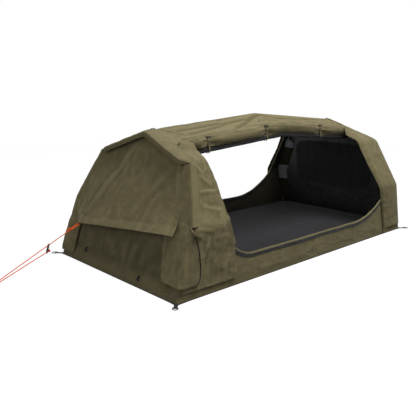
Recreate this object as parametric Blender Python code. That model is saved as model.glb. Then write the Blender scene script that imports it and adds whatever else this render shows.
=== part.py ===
"""Swag bedroll pitched as a one-person canvas tunnel.

Metres. +X points to the head end, -Y to the front and +Z up. The origin is on the ground,
under the middle of the base. Two bent pole hoops lean inwards, a ridge pole joins their
tops, and canvas panels are sewn over them. Both long sides have a rolled-up door.
"""
import math

import bpy
import bmesh
from mathutils import Vector

X_AXIS, Y_AXIS, Z_AXIS = Vector((1, 0, 0)), Vector((0, 1, 0)), Vector((0, 0, 1))
FRONT, REAR = -1, 1
FOOT, HEAD = -1, 1
SIDES = {"front": FRONT, "rear": REAR}
ENDS = {"foot": FOOT, "head": HEAD}

# Driving sizes of the tent
base_length = 2.150
base_width = 1.100
hem_inset = 0.010
knee_height = 0.338
knee_half_width = 0.533
shoulder_height = 0.645
shoulder_half_width = 0.388
apex_height = 0.774
foot_setback = 0.268
head_setback = 0.176
ridge_peak_height = 0.842
ridge_peak_x = 0.053
ridge_round = 0.016
knee_bend = 0.05
shoulder_bend = 0.055

# Cloth, clearances and the ground sheet
canvas = 0.0025
flap_cloth = 0.002
net = 0.001
gap = 0.0003
ground_thick = 0.0025
corner_flare = 0.006
bend_steps = 4

# Door opening
foot_margin_inset = 0.290
head_margin_inset = 0.205
foot_margin_x = foot_margin_inset - base_length / 2
head_margin_x = base_length / 2 - head_margin_inset
foot_margin_lean = 0.050
head_margin_lean = 0.070
sill_height = 0.146
foot_corner_run = 0.285
head_corner_run = 0.420
corner_power = 2.2
roof_half_width = 0.200
flap_top_half_width = 0.280
flap_hem_height = 0.045
flap_gap = 0.0045
foot_flap_reach = 0.120
head_flap_reach = 0.204
rear_flap_reach = 0.020
flap_place_shares = (0, 0.14, 0.275, 0.385, 0.56, 0.71, 0.85, 1)
foot_flap_shares = (1, 0.98, 0.88, 0.63, 0.53, 0.53, 0.35, 0.3)
head_flap_shares = (0.23, 0.33, 0.45, 0.6, 0.8, 0.95, 1, 0.85)
rear_flap_shares = (1, 1, 1, 1, 1, 1, 1, 1)

# Rolled doors and their ties
roll_drop = 0.072
roll_half_height = 0.034
roll_half_depth = 0.030
roll_sides = 10
net_roll_radius = 0.0175
net_roll_sides = 8
roll_foot_clear = 0.073
roll_head_clear = 0.092
roll_start_x = foot_margin_x + roll_foot_clear
roll_end_x = head_margin_x - roll_head_clear
roll_taper = 0.060
middle_tie_x = -0.100
foot_tie_inset = 0.135
head_tie_inset = 0.327
tie_x_places = {"foot": roll_start_x + foot_tie_inset, "middle": middle_tie_x,
                "head": roll_end_x - head_tie_inset}
pinch_width = 0.045
pinch_share = 0.38
tie_width = 0.014
tie_thick = 0.0015
tie_gap = 0.0022
toggle_length = 0.036
toggle_radius = 0.0045
toggle_profile_shares = ((-1, 0.55), (-0.92, 1), (-0.6, 1), (-0.3, 0.71),
                         (0.3, 0.71), (0.6, 1), (0.92, 1), (1, 0.55))
toggle_angle = math.radians(38)

# Zips
zip_width = 0.019
zip_edge = 0.004
zip_thick = 0.0018
binding_rise = 0.0030
slider_length = 0.013
slider_height = 0.011
slider_depth = 0.005
pull_length = 0.030
pull_thick = 0.0016
front_slider_inset = 0.435
net_slider_inset = 0.345
front_slider_x = head_margin_x - front_slider_inset
net_slider_x = foot_margin_x + net_slider_inset

# Poles and fittings
pole_radius = 0.0055
hub_half_arm = 0.026
hub_half_height = 0.009
hub_half_width = 0.010
joiner_half = 0.030
joiner_radius = 0.0085
joiner_profile_shares = ((-1, 0.8), (-0.7, 1), (0, 1), (0.7, 1), (1, 0.8))
foot_cup_height = 0.016
foot_cup_radius = 0.0078
cup_profile_shares = ((0, 1), (0.4, 1), (1, 0.8))
sleeve_half_width = 0.028
sleeve_half_depth = 0.0095
sleeve_low_height = 0.110
sleeve_high_height = 0.590

# End walls and their windows
window_power = 5
foot_window_half = (0.235, 0.125)
foot_window_height = 0.455
head_window_half = (0.310, 0.150)
head_window_height = 0.425
window_seam = 0.022
window_cover_border = 0.045

# Awning over the foot window as (distance from the middle, height) points. A crease runs from
# its peak to the rear corner, which the guy line draws out, and a wing behind the crease is
# sewn down the rear leg of the hoop.
awning_peak = (0, 0.752)
awning_front_edge = ((0.330, 0.620), (0.425, 0.430), (0.463, 0.310))
awning_front_shares = (0, 0.5, 1)
awning_rear_edge = ((0.376, 0.634), (0.519, 0.345), (0.515, 0.300))
awning_rear_shares = (0, 0.875, 1)
awning_rear_corner = (0.383, 0.221)
awning_reach = 0.030
awning_seam_lift = 0.0028

# Corner sleeves over the foot hoop's legs
sleeve_top = {"front": 0.385, "rear": 0.262}
sleeve_hem = {"front": 0.075, "rear": 0.030}
sleeve_inner_top = {"front": 0.300, "rear": 0.415}
sleeve_inner_hem = {"front": 0.392, "rear": 0.430}
sleeve_lift = 0.0125
sleeve_wrap_shares = (0.62, 1, 0.55)
sleeve_wrap = 0.105

# Mattress
mattress_end_room = 0.045
mattress_side_room = 0.060
mattress_length = base_length - 2 * mattress_end_room
mattress_width = base_width - 2 * mattress_side_room
mattress_height = 0.062
mattress_corner = 0.090
mattress_crown = 0.004
mattress_draw_in = 0.006
cover_cloth = 0.0015

# Corner webbing and steel rings
webbing_width = 0.020
webbing_thick = 0.0016
webbing_reach = 0.030
webbing_root = 0.014
ring_wire = 0.0022
ring_half_width = 0.0145
ring_depth = 0.024
eye_clearance = 0.0007

# Small webbing loops
loop_width = 0.014
loop_height = 0.011
loop_length = 0.034
loop_thick = 0.0015
sewn_depth = 0.0012

# Guy line. It runs from the awning's rear corner to a peg past the foot end, turns round the
# peg and comes back to the adjuster.
rope_diameter = 0.005
rope_points = 78
guy_route = (
    (-1.105, 0.362, 0.193), (-1.160, 0.349, 0.175), (-1.216, 0.335, 0.157), (-1.264, 0.324, 0.141),
    (-1.327, 0.308, 0.121), (-1.410, 0.288, 0.093), (-1.502, 0.265, 0.063), (-1.576, 0.247, 0.038),
    (-1.609, 0.239, 0.028), (-1.618, 0.235, 0.024), (-1.619, 0.229, 0.024), (-1.615, 0.224, 0.024),
    (-1.605, 0.225, 0.027), (-1.572, 0.234, 0.035), (-1.497, 0.257, 0.052), (-1.422, 0.279, 0.070),
    (-1.365, 0.295, 0.083), (-1.318, 0.309, 0.094), (-1.289, 0.317, 0.101), (-1.270, 0.322, 0.107))
adjuster_seat = 3
adjuster_low_share = 0.56
adjuster_half_width = 0.0070
adjuster_overhang = 0.0085
adjuster_thick = 0.0030
adjuster_hole = 0.0037
drill_length = 0.030
knot_half = 0.0072
knot_radius = 0.0062
knot_profile_shares = ((-1, 0.45), (-0.7, 0.9), (-0.35, 1), (0, 0.82), (0.35, 1), (0.7, 0.9), (1, 0.45))
hitch_half_width = 0.0075


def finish(name, colour, roughness, metallic=0.0):
    """One plain material for each kind of surface."""
    found = bpy.data.materials.get(name)
    if found:
        return found
    made = bpy.data.materials.new(name)
    made.use_nodes = True
    shader = made.node_tree.nodes["Principled BSDF"]
    shader.inputs["Base Color"].default_value = (*colour, 1)
    shader.inputs["Roughness"].default_value = roughness
    shader.inputs["Metallic"].default_value = metallic
    return made


def canvas_olive():
    return finish("olive canvas", (0.115, 0.098, 0.051), 0.9)


def lining():
    return finish("black net", (0.012, 0.013, 0.013), 0.9)


def black_vinyl():
    return finish("black vinyl", (0.015, 0.015, 0.016), 0.55)


def charcoal():
    return finish("charcoal cloth", (0.028, 0.027, 0.031), 0.95)


def black_webbing():
    return finish("black webbing", (0.012, 0.012, 0.013), 0.8)


def black_plastic():
    return finish("black plastic", (0.01, 0.01, 0.011), 0.4)


def pole_alloy():
    return finish("alloy pole", (0.52, 0.53, 0.55), 0.3, 1.0)


def ring_steel():
    return finish("steel ring", (0.6, 0.6, 0.6), 0.25, 1.0)


def orange_cord():
    return finish("orange cord", (0.86, 0.13, 0.02), 0.7)


def place(name, mesh, material, smooth=0):
    """Makes the named object; smooth is the angle up to which edges are shaded round."""
    made = bpy.data.objects.new(name, mesh)
    bpy.context.scene.collection.objects.link(made)
    mesh.materials.append(material)
    if smooth:
        mesh.shade_smooth()
        mesh.set_sharp_from_angle(angle=smooth)
    return made


def solid(name, build, material, smooth=0, origin=None):
    """Turns a bmesh into an object whose faces point out, with its origin where asked."""
    bmesh.ops.recalc_face_normals(build, faces=build.faces)
    mesh = bpy.data.meshes.new(name)
    if origin is not None:
        bmesh.ops.translate(build, verts=build.verts, vec=-origin)
    build.to_mesh(mesh)
    build.free()
    made = place(name, mesh, material, smooth)
    if origin is not None:
        made.location = origin
    return made


def add_shell(build, outer, inner):
    """Closes two grids of points, an outer and an inner one, into a thin solid."""
    layers = [[[build.verts.new(p) for p in row] for row in grid] for grid in (outer, inner)]
    last_row, last_col = len(outer) - 1, len(outer[0]) - 1
    for layer, grid in enumerate(layers):
        for i in range(last_row):
            for j in range(last_col):
                corners = [grid[i][j], grid[i][j + 1], grid[i + 1][j + 1], grid[i + 1][j]]
                build.faces.new(corners if layer else corners[::-1])
    border = [(0, j) for j in range(last_col)] + [(i, last_col) for i in range(last_row)]
    border += [(last_row, j) for j in range(last_col, 0, -1)] + [(i, 0) for i in range(last_row, 0, -1)]
    for (i, j), (k, m) in zip(border, border[1:] + border[:1]):
        build.faces.new((layers[0][i][j], layers[0][k][m], layers[1][k][m], layers[1][i][j]))


def outward_normals(grid):
    """Normals of a grid of points, turned away from the middle of the tent."""
    rows, cols = len(grid), len(grid[0])
    normals = []
    for i in range(rows):
        line = []
        for j in range(cols):
            along = grid[i][min(j + 1, cols - 1)] - grid[i][max(j - 1, 0)]
            across = grid[min(i + 1, rows - 1)][j] - grid[max(i - 1, 0)][j]
            line.append(along.cross(across).normalized())
        normals.append(line)
    heart = Vector((0, 0, knee_height))
    lean = sum(n.dot(p - heart) for line, row in zip(normals, grid) for n, p in zip(line, row))
    if lean < 0:
        normals = [[-n for n in line] for line in normals]
    return normals


def thin_grids(grid, wall):
    """The grid itself as the outer face, and a copy one wall further in."""
    normals = outward_normals(grid)
    inner = [[p - n * wall for p, n in zip(row, line)] for row, line in zip(grid, normals)]
    return grid, inner


def sheet(name, grid, wall, material):
    """One node of sewn cloth from a grid of points on its outer face."""
    build = bmesh.new()
    add_shell(build, *thin_grids(grid, wall))
    return solid(name, build, material, math.radians(40))


def add_loft(build, rings):
    """Joins rings of points of equal count and caps both ends."""
    layers = [[build.verts.new(p) for p in ring] for ring in rings]
    count = len(layers[0])
    for low, high in zip(layers, layers[1:]):
        for k in range(count):
            build.faces.new((low[k], low[(k + 1) % count], high[(k + 1) % count], high[k]))
    build.faces.new(layers[0][::-1])
    build.faces.new(layers[-1])


def loft(name, groups, material, smooth=math.radians(50), origin=None):
    """A node of one or more lofted solids."""
    build = bmesh.new()
    for rings in groups:
        add_loft(build, rings)
    return solid(name, build, material, smooth, origin)


def unite(body, groups):
    """Joins sewn-on or moulded-on solids to their body with a Boolean union."""
    helper = loft(body.name + "_addition", groups, body.data.materials[0], 0)
    helper.hide_render = True
    helper.display_type = "WIRE"
    join = body.modifiers.new("addition", "BOOLEAN")
    join.operation = "UNION"
    join.solver = "EXACT"
    join.object = helper


def round_ring(centre, across, up, radius, sides):
    """Points of a circle spanned by two directions."""
    turns = [math.tau * k / sides for k in range(sides)]
    return [centre + (across * math.cos(t) + up * math.sin(t)) * radius for t in turns]


def prism_rings(outline, push):
    """Two rings for a loft: a flat outline, and the same one pushed along a vector."""
    return [list(outline), [p + push for p in outline]]


def ribbon_outline(path, thick):
    """Outline of a bent strip seen from its edge, grown to the left of a flat path."""
    normals = []
    for i in range(len(path)):
        run = (path[min(i + 1, len(path) - 1)] - path[max(i - 1, 0)]).normalized()
        normals.append(Vector((-run.y, run.x)))
    return list(path) + [p + n * thick for p, n in zip(path[::-1], normals[::-1])]


def arc(centre, radius_x, radius_y, start, end, steps):
    """Points of a flat arc between two angles."""
    turn = [start + (end - start) * k / steps for k in range(steps + 1)]
    return [Vector((centre[0] + radius_x * math.cos(t), centre[1] + radius_y * math.sin(t))) for t in turn]


def bend(points, radius, steps):
    """Rounds the inner corners of a path with arcs."""
    path = [points[0]]
    for before, corner, after in zip(points, points[1:], points[2:]):
        back, ahead = (before - corner).normalized(), (after - corner).normalized()
        half = back.angle(ahead) / 2
        centre = corner + (back + ahead).normalized() * (radius / math.sin(half))
        start = corner + back * (radius / math.tan(half)) - centre
        end = corner + ahead * (radius / math.tan(half)) - centre
        swing = start.angle(end)
        for k in range(steps + 1):
            share = k / steps
            arm = start * math.sin((1 - share) * swing) + end * math.sin(share * swing)
            path.append(centre + arm / math.sin(swing))
    path.append(points[-1])
    return path


def table(x, places, values):
    """Straight-line reading of a short table."""
    for a, b, low, high in zip(places, places[1:], values, values[1:]):
        if x <= b:
            return low + (high - low) * max(0, x - a) / (b - a)
    return values[-1]


# The cross-section: a front half from the ground over knee and shoulder to the apex
base_half_width = base_width / 2 - hem_inset
foot_lean = foot_setback / apex_height
head_lean = head_setback / apex_height
roof_fall = (apex_height - shoulder_height) / shoulder_half_width


def half_section():
    """Polyline of half the cross-section as (distance from the middle plane, height)."""
    corners = [Vector((base_half_width, 0)), Vector((knee_half_width, knee_height)),
               Vector((shoulder_half_width, shoulder_height)), Vector((0, apex_height))]
    knee = bend(corners[:3], knee_bend, bend_steps)
    shoulder = bend(corners[1:], shoulder_bend, bend_steps)
    return knee[:-1] + shoulder[1:]


section = half_section()
section_runs = [0.0]
for low_point, high_point in zip(section, section[1:]):
    section_runs.append(section_runs[-1] + (high_point - low_point).length)
knee_run = section_runs[1]
roof_start_width = section[-2].x


def section_at(run):
    """Point and outward normal of the cross-section at a distance up from its hem."""
    k = max(i for i, value in enumerate(section_runs[:-1]) if value <= max(run, 0))
    share = (run - section_runs[k]) / (section_runs[k + 1] - section_runs[k])
    point = section[k].lerp(section[k + 1], share)

    def normal_of(i):
        tread = (section[min(i + 1, len(section) - 1)] - section[max(i - 1, 0)]).normalized()
        return Vector((tread.y, -tread.x))

    return point, normal_of(k).lerp(normal_of(k + 1), share).normalized()


def run_at_height(height):
    """Distance up the wall at which it reaches a height."""
    heights = [p.y for p in section]
    return table(height, heights, section_runs)


def run_at_width(width):
    """Distance up the wall at which it has come in to a half width."""
    widths = [-p.x for p in section]
    return table(-width, widths, section_runs)


def runs_between(start, end, most):
    """Rows from start to end that take in every bend and are no further apart than asked."""
    fixed = [start] + [r for r in section_runs if start + gap < r < end - gap] + [end]
    rows = [start]
    for a, b in zip(fixed, fixed[1:]):
        parts = max(1, math.ceil((b - a) / most))
        rows += [a + (b - a) * (k + 1) / parts for k in range(parts)]
    return rows


def hoop_x(end, height):
    """Where the leaning end of the tent stands at a height."""
    lean = foot_lean if end == FOOT else head_lean
    return end * (base_length / 2 - hem_inset - lean * height)


def skin(side, x, run, lift):
    """A point on the side of the tent, lifted off its outer face."""
    point, normal = section_at(run)
    flat = point + normal * lift
    roof_share = (roof_start_width - point.x) / (roof_start_width - roof_half_width)
    rise = (ridge_height(x) - apex_height) * min(1, max(0, roof_share))
    return Vector((x, side * flat.x, flat.y + rise))


def margin_x(end, run):
    """The door opening's edge beside a hoop, which leans in over the roof."""
    start, stop = section_runs[-2], run_at_width(roof_half_width)
    share = min(1, max(0, (run - start) / (stop - start)))
    if end == FOOT:
        return foot_margin_x + foot_margin_lean * share
    return head_margin_x - head_margin_lean * share


def ridge_height(x):
    """Top of the canvas along the ridge, highest at the middle joiner."""
    end = FOOT if x < ridge_peak_x else HEAD
    reach = hoop_x(end, apex_height) - ridge_peak_x
    share = min(1, (x - ridge_peak_x) / reach)
    return ridge_peak_height + (apex_height - ridge_peak_height) * share


def door_edge_run(x):
    """Top of the low side wall: the sill, curved up to the knee seam at the door's margins."""
    sill = run_at_height(sill_height)
    foot_share = (foot_margin_x + foot_corner_run - x) / foot_corner_run
    head_share = (x - head_margin_x + head_corner_run) / head_corner_run
    rise = min(1, max(0, foot_share, head_share))
    return sill + (knee_run - gap - sill) * rise ** corner_power


def door_columns():
    """Upright lines along the low side wall, closer together in the round corners."""
    steps = 7
    foot = [foot_margin_x + foot_corner_run * (k / steps) ** 2 for k in range(steps + 1)]
    head = [head_margin_x - head_corner_run * (k / steps) ** 2 for k in range(steps, -1, -1)]
    span = head[0] - foot[-1]
    straight = [foot[-1] + span * k / steps for k in range(1, steps)]
    return foot + straight + head


def ground_sheet():
    """Black vinyl floor, its corners drawn out to the corner webbing."""
    steps = 10
    half_length, half_width = base_length / 2, base_width / 2

    def flare(share):
        return corner_flare * (1 - abs(share) ** (2 * steps))

    outline = []
    for k in range(steps):
        share = 2 * k / steps - 1
        outline.append(Vector((half_length * share, -half_width + flare(share), 0)))
    for k in range(steps):
        share = 2 * k / steps - 1
        outline.append(Vector((half_length - flare(share), half_width * share, 0)))
    outline += [Vector((-p.x, -p.y, 0)) for p in outline]
    floor = loft("ground_sheet", [prism_rings(outline, Vector((0, 0, ground_thick)))], black_vinyl(), 0)
    unite(floor, corner_webbing() + pole_cups())


def side_wall(label):
    """Low canvas wall along a whole side, cut down to the sill between the door margins."""
    side = SIDES[label]
    bottom = run_at_height(ground_thick + gap)
    rows = runs_between(bottom, knee_run - gap, knee_height / 3)
    grid = []
    for row in rows:
        row_share = (row - bottom) / (rows[-1] - bottom)
        line = []
        for end_x in [FOOT] + door_columns() + [HEAD]:
            top = knee_run - gap if end_x in (FOOT, HEAD) else door_edge_run(end_x)
            run = bottom + (top - bottom) * row_share
            x = hoop_x(end_x, section_at(run)[0].y) if end_x in (FOOT, HEAD) else end_x
            line.append(skin(side, x, run, 0))
        grid.append(line)
    sheet(label + "_side_wall", grid, canvas, canvas_olive())


def margin_runs():
    """Rows up a door margin, from the knee to the top of the zip."""
    return runs_between(knee_run, run_at_width(flap_top_half_width), shoulder_height / 5)


def upper_quarter(label, end_label):
    """Canvas from the knee over the shoulder to the roof, between a hoop and the door."""
    side, end = SIDES[label], ENDS[end_label]
    grid = []
    for run in margin_runs() + [run_at_width(roof_half_width + gap)]:
        start = hoop_x(end, section_at(run)[0].y)
        stop = margin_x(end, run)
        beside_zip = stop + end * (zip_width + 2 * zip_edge)
        columns = (start, (start + beside_zip) / 2, beside_zip, stop)
        grid.append([skin(side, x, run, 0) for x in columns])
    sheet(label + "_" + end_label + "_quarter", grid, canvas, canvas_olive())


def flap_edge_x(side, end, share, run):
    """Free edge of a storm flap, at a share of the way up from its hem."""
    if side == REAR:
        reach, shares = rear_flap_reach, rear_flap_shares
    elif end == FOOT:
        reach, shares = foot_flap_reach, foot_flap_shares
    else:
        reach, shares = head_flap_reach, head_flap_shares
    return margin_x(end, run) - end * reach * table(share, flap_place_shares, shares)


def storm_flap(label, end_label):
    """Outer layer, sewn along the hoop, that covers the zip beside the door."""
    side, end = SIDES[label], ENDS[end_label]
    bottom, top = run_at_height(flap_hem_height), run_at_width(flap_top_half_width)
    grid = []
    for run in runs_between(bottom, top, shoulder_height / 6):
        share = (run - bottom) / (top - bottom)
        start = hoop_x(end, section_at(run)[0].y)
        edge = flap_edge_x(side, end, share, run)
        over_zip = margin_x(end, run) + end * (zip_width + 2 * zip_edge)
        line = [skin(side, start, run, gap + flap_cloth)]
        for x in (over_zip, (over_zip + edge) / 2, edge):
            line.append(skin(side, x, run, flap_gap + flap_cloth))
        grid.append(line)
    sheet(label + "_" + end_label + "_storm_flap", grid, flap_cloth, canvas_olive())


def round_share(across):
    """Share of the roof strip's fall at a distance from the ridge, with the ridge rounded."""
    def rounded(reach):
        return math.hypot(reach, ridge_round) - ridge_round

    return rounded(across) / rounded(roof_half_width)


def roof_panel(end_label):
    """Half of the roof strip, from a hoop to the middle of the ridge."""
    end = ENDS[end_label]
    width_shares = (1, 0.66, 0.33, 0.1, 0, -0.1, -0.33, -0.66, -1)
    steps = 6
    seam = ridge_peak_x + end * gap
    grid = []
    for width_share in width_shares:
        across = roof_half_width * width_share
        fall = roof_fall * roof_half_width * round_share(across)
        line = []
        for k in range(steps + 1):
            start = hoop_x(end, apex_height - fall)
            x = start + (seam - start) * k / steps
            line.append(Vector((x, across, ridge_height(x) - fall)))
        grid.append(line)
    panel = sheet("roof_panel_" + end_label, grid, canvas, canvas_olive())
    unite(panel, [ridge_loop(end)])


def end_plane(end, across, height, lift):
    """A point on an end wall, lifted outwards along the tent."""
    return Vector((hoop_x(end, height) + end * lift, across, height))


def end_outline():
    """Outline of an end wall: the cross-section, drawn in to sit inside the side canvas."""
    half = []
    inset = canvas + gap
    bottom = run_at_height(ground_thick + gap)
    for run in runs_between(bottom, section_runs[-1], shoulder_height / 4):
        point, normal = section_at(run)
        half.append(point - normal * inset)
    peak = half[-1]
    half[-1] = Vector((0, peak.y - ridge_round * roof_fall))
    half[0] = Vector((half[0].x, ground_thick + gap))
    rear = half[:-1]
    return [Vector((-p.x, p.y)) for p in half] + rear[::-1]


def super_ellipse(middle, half, angle):
    """A point of a window's rounded outline."""
    c, s = math.cos(angle), math.sin(angle)
    reach = (abs(c / half[0]) ** window_power + abs(s / half[1]) ** window_power) ** (-1 / window_power)
    return Vector((reach * c, middle + reach * s))


def end_wall(end_label, half, middle):
    """Canvas end wall with its window cut out."""
    end = ENDS[end_label]
    outer = end_outline()
    inner = [super_ellipse(middle, half, math.atan2(p.y - middle, p.x)) for p in outer]
    build = bmesh.new()
    faces = []
    for lift in (0, -canvas):
        faces.append([[build.verts.new(end_plane(end, p.x, p.y, lift)) for p in loop]
                      for loop in (outer, inner)])
    count = len(outer)
    for k in range(count):
        m = (k + 1) % count
        for big, small in faces:
            build.faces.new((big[k], big[m], small[m], small[k]))
        for loop in (0, 1):
            near, far = faces[0][loop], faces[1][loop]
            build.faces.new((near[k], near[m], far[m], far[k]))
    solid(end_label + "_end_wall", build, canvas_olive())


def window_plate(name, end_label, half, middle, border, lift, wall, material):
    """Flat rounded sheet parallel to an end wall."""
    end = ENDS[end_label]
    steps = 28
    grown = (half[0] + border, half[1] + border)
    outline = [super_ellipse(middle, grown, math.tau * k / steps) for k in range(steps)]
    ring = [end_plane(end, p.x, p.y, lift) for p in outline]
    loft(name, [prism_rings(ring, Vector((-end * wall, 0, 0)))], material, 0)


def windows():
    """Insect net sewn behind both end walls, and the cover closed over the head window."""
    inside = -canvas - gap
    window_plate("foot_window_net", "foot", foot_window_half, foot_window_height,
                 window_seam, inside, net, lining())
    window_plate("head_window_net", "head", head_window_half, head_window_height,
                 window_seam, inside, net, lining())
    window_plate("head_window_cover", "head", head_window_half, head_window_height,
                 window_cover_border, gap + flap_cloth, flap_cloth, canvas_olive())


def awning():
    """Hood over the foot window, sewn under the hoop, its hem standing off the wall."""
    steps, wing_columns, main_columns = 8, 3, 7
    rear_edge = [Vector(p) for p in awning_rear_edge]
    front_edge = [Vector((-p[0], p[1])) for p in awning_front_edge]
    grid = []
    for i in range(steps + 1):
        share = i / steps
        rear = table(share, awning_rear_shares, rear_edge)
        front = table(share, awning_front_shares, front_edge)
        crease = Vector(awning_peak).lerp(Vector(awning_rear_corner), share)
        stand_off = awning_reach * share ** 1.5
        line = []
        for j in range(wing_columns):
            part = j / wing_columns
            flat = rear.lerp(crease, part)
            line.append(end_plane(FOOT, flat.x, flat.y, awning_seam_lift + stand_off * part))
        for j in range(main_columns + 1):
            flat = crease.lerp(front, j / main_columns)
            line.append(end_plane(FOOT, flat.x, flat.y, awning_seam_lift + stand_off))
        grid.append(line)
    hood = sheet("foot_awning", grid, flap_cloth, canvas_olive())
    unite(hood, [guy_tab()])


def corner_sleeve(label):
    """Loose canvas sleeve wrapped round a leg of the foot hoop."""
    side = SIDES[label]
    low, high = run_at_height(sleeve_hem[label]), run_at_height(sleeve_top[label])
    grid = []
    for run in runs_between(low, high, knee_height / 4):
        share = (run - low) / (high - low)
        point, _ = section_at(run)
        height = point.y
        inner = sleeve_inner_hem[label] + (sleeve_inner_top[label] - sleeve_inner_hem[label]) * share
        wall_x = hoop_x(FOOT, height)
        reach = sleeve_wrap * table(share, (0, 0.5, 1), sleeve_wrap_shares)
        line = [end_plane(FOOT, side * inner, height, awning_seam_lift),
                end_plane(FOOT, side * (inner + point.x) / 2, height, sleeve_lift * 0.6),
                end_plane(FOOT, side * (point.x - sleeve_lift), height, sleeve_lift),
                skin(side, wall_x - sleeve_lift * 0.7, run, sleeve_lift * 0.7),
                skin(side, wall_x + sleeve_lift, run, sleeve_lift),
                skin(side, wall_x + sleeve_lift + reach / 2, run, sleeve_lift),
                skin(side, wall_x + sleeve_lift + reach, run, sleeve_lift * 0.8)]
        grid.append(line)
    sheet(label + "_corner_sleeve", grid, flap_cloth, canvas_olive())


def pinch(x):
    """Share of a roll's full size that is left beside its ties."""
    squeeze = sum(math.exp(-((x - tie) / pinch_width) ** 2) for tie in tie_x_places.values())
    return 1 - pinch_share * squeeze


def roll_size(x):
    """Share of a roll's full size along it, tapering into both ends."""
    to_end = min(x - roll_start_x, roll_end_x - x)
    taper = 0.55 + 0.45 * min(1, to_end / roll_taper)
    return pinch(x) * taper


def roll_stations():
    """Places along a roll: even steps, with more beside each tie."""
    step = pinch_width / 2
    places = {roll_start_x, roll_end_x}
    for tie in tie_x_places.values():
        places |= {tie + step * k for k in (-4, -2, -1, 0, 1, 2, 4)}
    coarse = 16
    span = roll_end_x - roll_start_x
    for k in range(1, coarse):
        x = roll_start_x + span * k / coarse
        if min(abs(x - p) for p in places) > step:
            places.add(x)
    return sorted(places)


def roll_centre(side, x):
    """Middle of a rolled door, its back against the edge of the roof strip."""
    back = roll_half_depth * roll_size(x) * math.cos(math.pi / roll_sides)
    return Vector((x, side * (roof_half_width + gap + back), ridge_height(x) - roll_drop))


def net_roll_centre(side, x):
    """Middle of the rolled insect net, under the rolled door."""
    drop = roll_drop + roll_half_height + gap + net_roll_radius
    return Vector((x, side * (roof_half_width + roll_half_depth), ridge_height(x) - drop))


def door_rolls(label):
    """The canvas door and the insect net behind it, each rolled up to the roof."""
    side = SIDES[label]
    door, screen = [], []
    for x in roll_stations():
        size = roll_size(x)
        middle = roll_centre(side, x)
        ring = []
        for k in range(roll_sides):
            angle = math.tau * (k + 0.5) / roll_sides
            ring.append(middle + Vector((0, side * roll_half_depth * size * math.cos(angle),
                                         roll_half_height * size * math.sin(angle))))
        door.append(ring)
    coarse = 14
    for k in range(coarse + 1):
        x = roll_start_x + (roll_end_x - roll_start_x) * k / coarse
        middle = net_roll_centre(side, x)
        screen.append(round_ring(middle, Y_AXIS, Z_AXIS, net_roll_radius, net_roll_sides))
    loft(label + "_canvas_door_roll", [door], canvas_olive())
    loft(label + "_net_door_roll", [screen], lining())


def tie_path(side, x):
    """Flat path of a tie, seen along the roll with outwards as +x."""
    top = roll_centre(side, x)
    low = net_roll_centre(side, x)
    top_flat = Vector((side * top.y, top.z))
    low_flat = Vector((side * low.y, low.z))
    size = roll_size(x)
    over = arc(top_flat, roll_half_depth * size + tie_gap, roll_half_height * size + tie_gap,
               math.radians(105), math.radians(-20), 8)
    under = arc(low_flat, net_roll_radius + tie_gap, net_roll_radius + tie_gap,
                math.radians(20), math.radians(-200), 8)
    seam_width = roof_half_width - tie_width
    seam = Vector((seam_width, ridge_height(x) - roof_fall * roof_half_width * round_share(seam_width)))
    under_seam = seam - Vector((0, canvas * math.hypot(1, roof_fall) + 2 * gap))
    return [seam + Vector((0, 2 * gap))] + over + under + [under_seam]


def roll_tie(label, place_label):
    """Canvas strap that holds both rolls up to the roof seam."""
    side, x = SIDES[label], tie_x_places[place_label]
    outline = ribbon_outline(tie_path(side, x), tie_thick)
    ring = [Vector((x - tie_width / 2, side * p.x, p.y)) for p in outline]
    loft(label + "_" + place_label + "_roll_tie", [prism_rings(ring, Vector((tie_width, 0, 0)))],
         canvas_olive(), math.radians(35))


def toggle(label, place_label):
    """Waisted plastic toggle on the front of a tie; it turns to pass back through its loop."""
    side, x = SIDES[label], tie_x_places[place_label]
    size = roll_size(x)
    out = Vector((0, side * math.sin(toggle_angle), math.cos(toggle_angle)))
    seat = Vector((0, out.y * roll_half_depth, out.z * roll_half_height)) * size
    centre = roll_centre(side, x) + seat + out * (tie_gap + tie_thick + gap + toggle_radius)
    centre += out * tie_gap / 2
    sides = 8
    half = toggle_length / 2
    rings = []
    for along_share, size_share in toggle_profile_shares:
        rings.append(round_ring(centre + X_AXIS * (half * along_share), Y_AXIS, Z_AXIS,
                                toggle_radius * size_share, sides))
    loft(label + "_" + place_label + "_toggle", [rings], black_plastic(), origin=centre)


def zip_path():
    """Door outline as (x, run) pairs, from the foot margin's top down round the sill and up."""
    rise = margin_runs()
    foot = [Vector((margin_x(FOOT, run), run)) for run in rise[::-1]]
    low = [Vector((x, door_edge_run(x))) for x in door_columns()[1:-1]]
    head = [Vector((margin_x(HEAD, run), run)) for run in rise]
    return foot + low + head


def door_zip(label):
    """Zip tape folded over the door's cut edge: canvas zip outside, net zip inside, binding over."""
    side = SIDES[label]
    path = zip_path()
    deep = zip_edge + zip_width
    out_face, in_face = gap + zip_thick, -canvas - gap - zip_thick
    profile = ((deep, out_face), (deep / 2, out_face), (-binding_rise, out_face), (-binding_rise, in_face),
               (deep, in_face), (deep, -canvas - gap), (-gap, -canvas - gap), (-gap, gap),
               (deep / 2, gap), (deep, gap))
    rings = []
    for i, point in enumerate(path):
        tread = (path[min(i + 1, len(path) - 1)] - path[max(i - 1, 0)]).normalized()
        back = Vector((tread.y, -tread.x))
        if point.y > knee_run + gap:
            back = Vector((math.copysign(1, point.x), 0))
        ring = []
        for inset, lift in profile:
            flat = point + back * inset
            ring.append(skin(side, flat.x, flat.y, lift))
        rings.append(ring)
    loft(label + "_door_zip", [rings], black_webbing(), math.radians(40))


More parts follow.
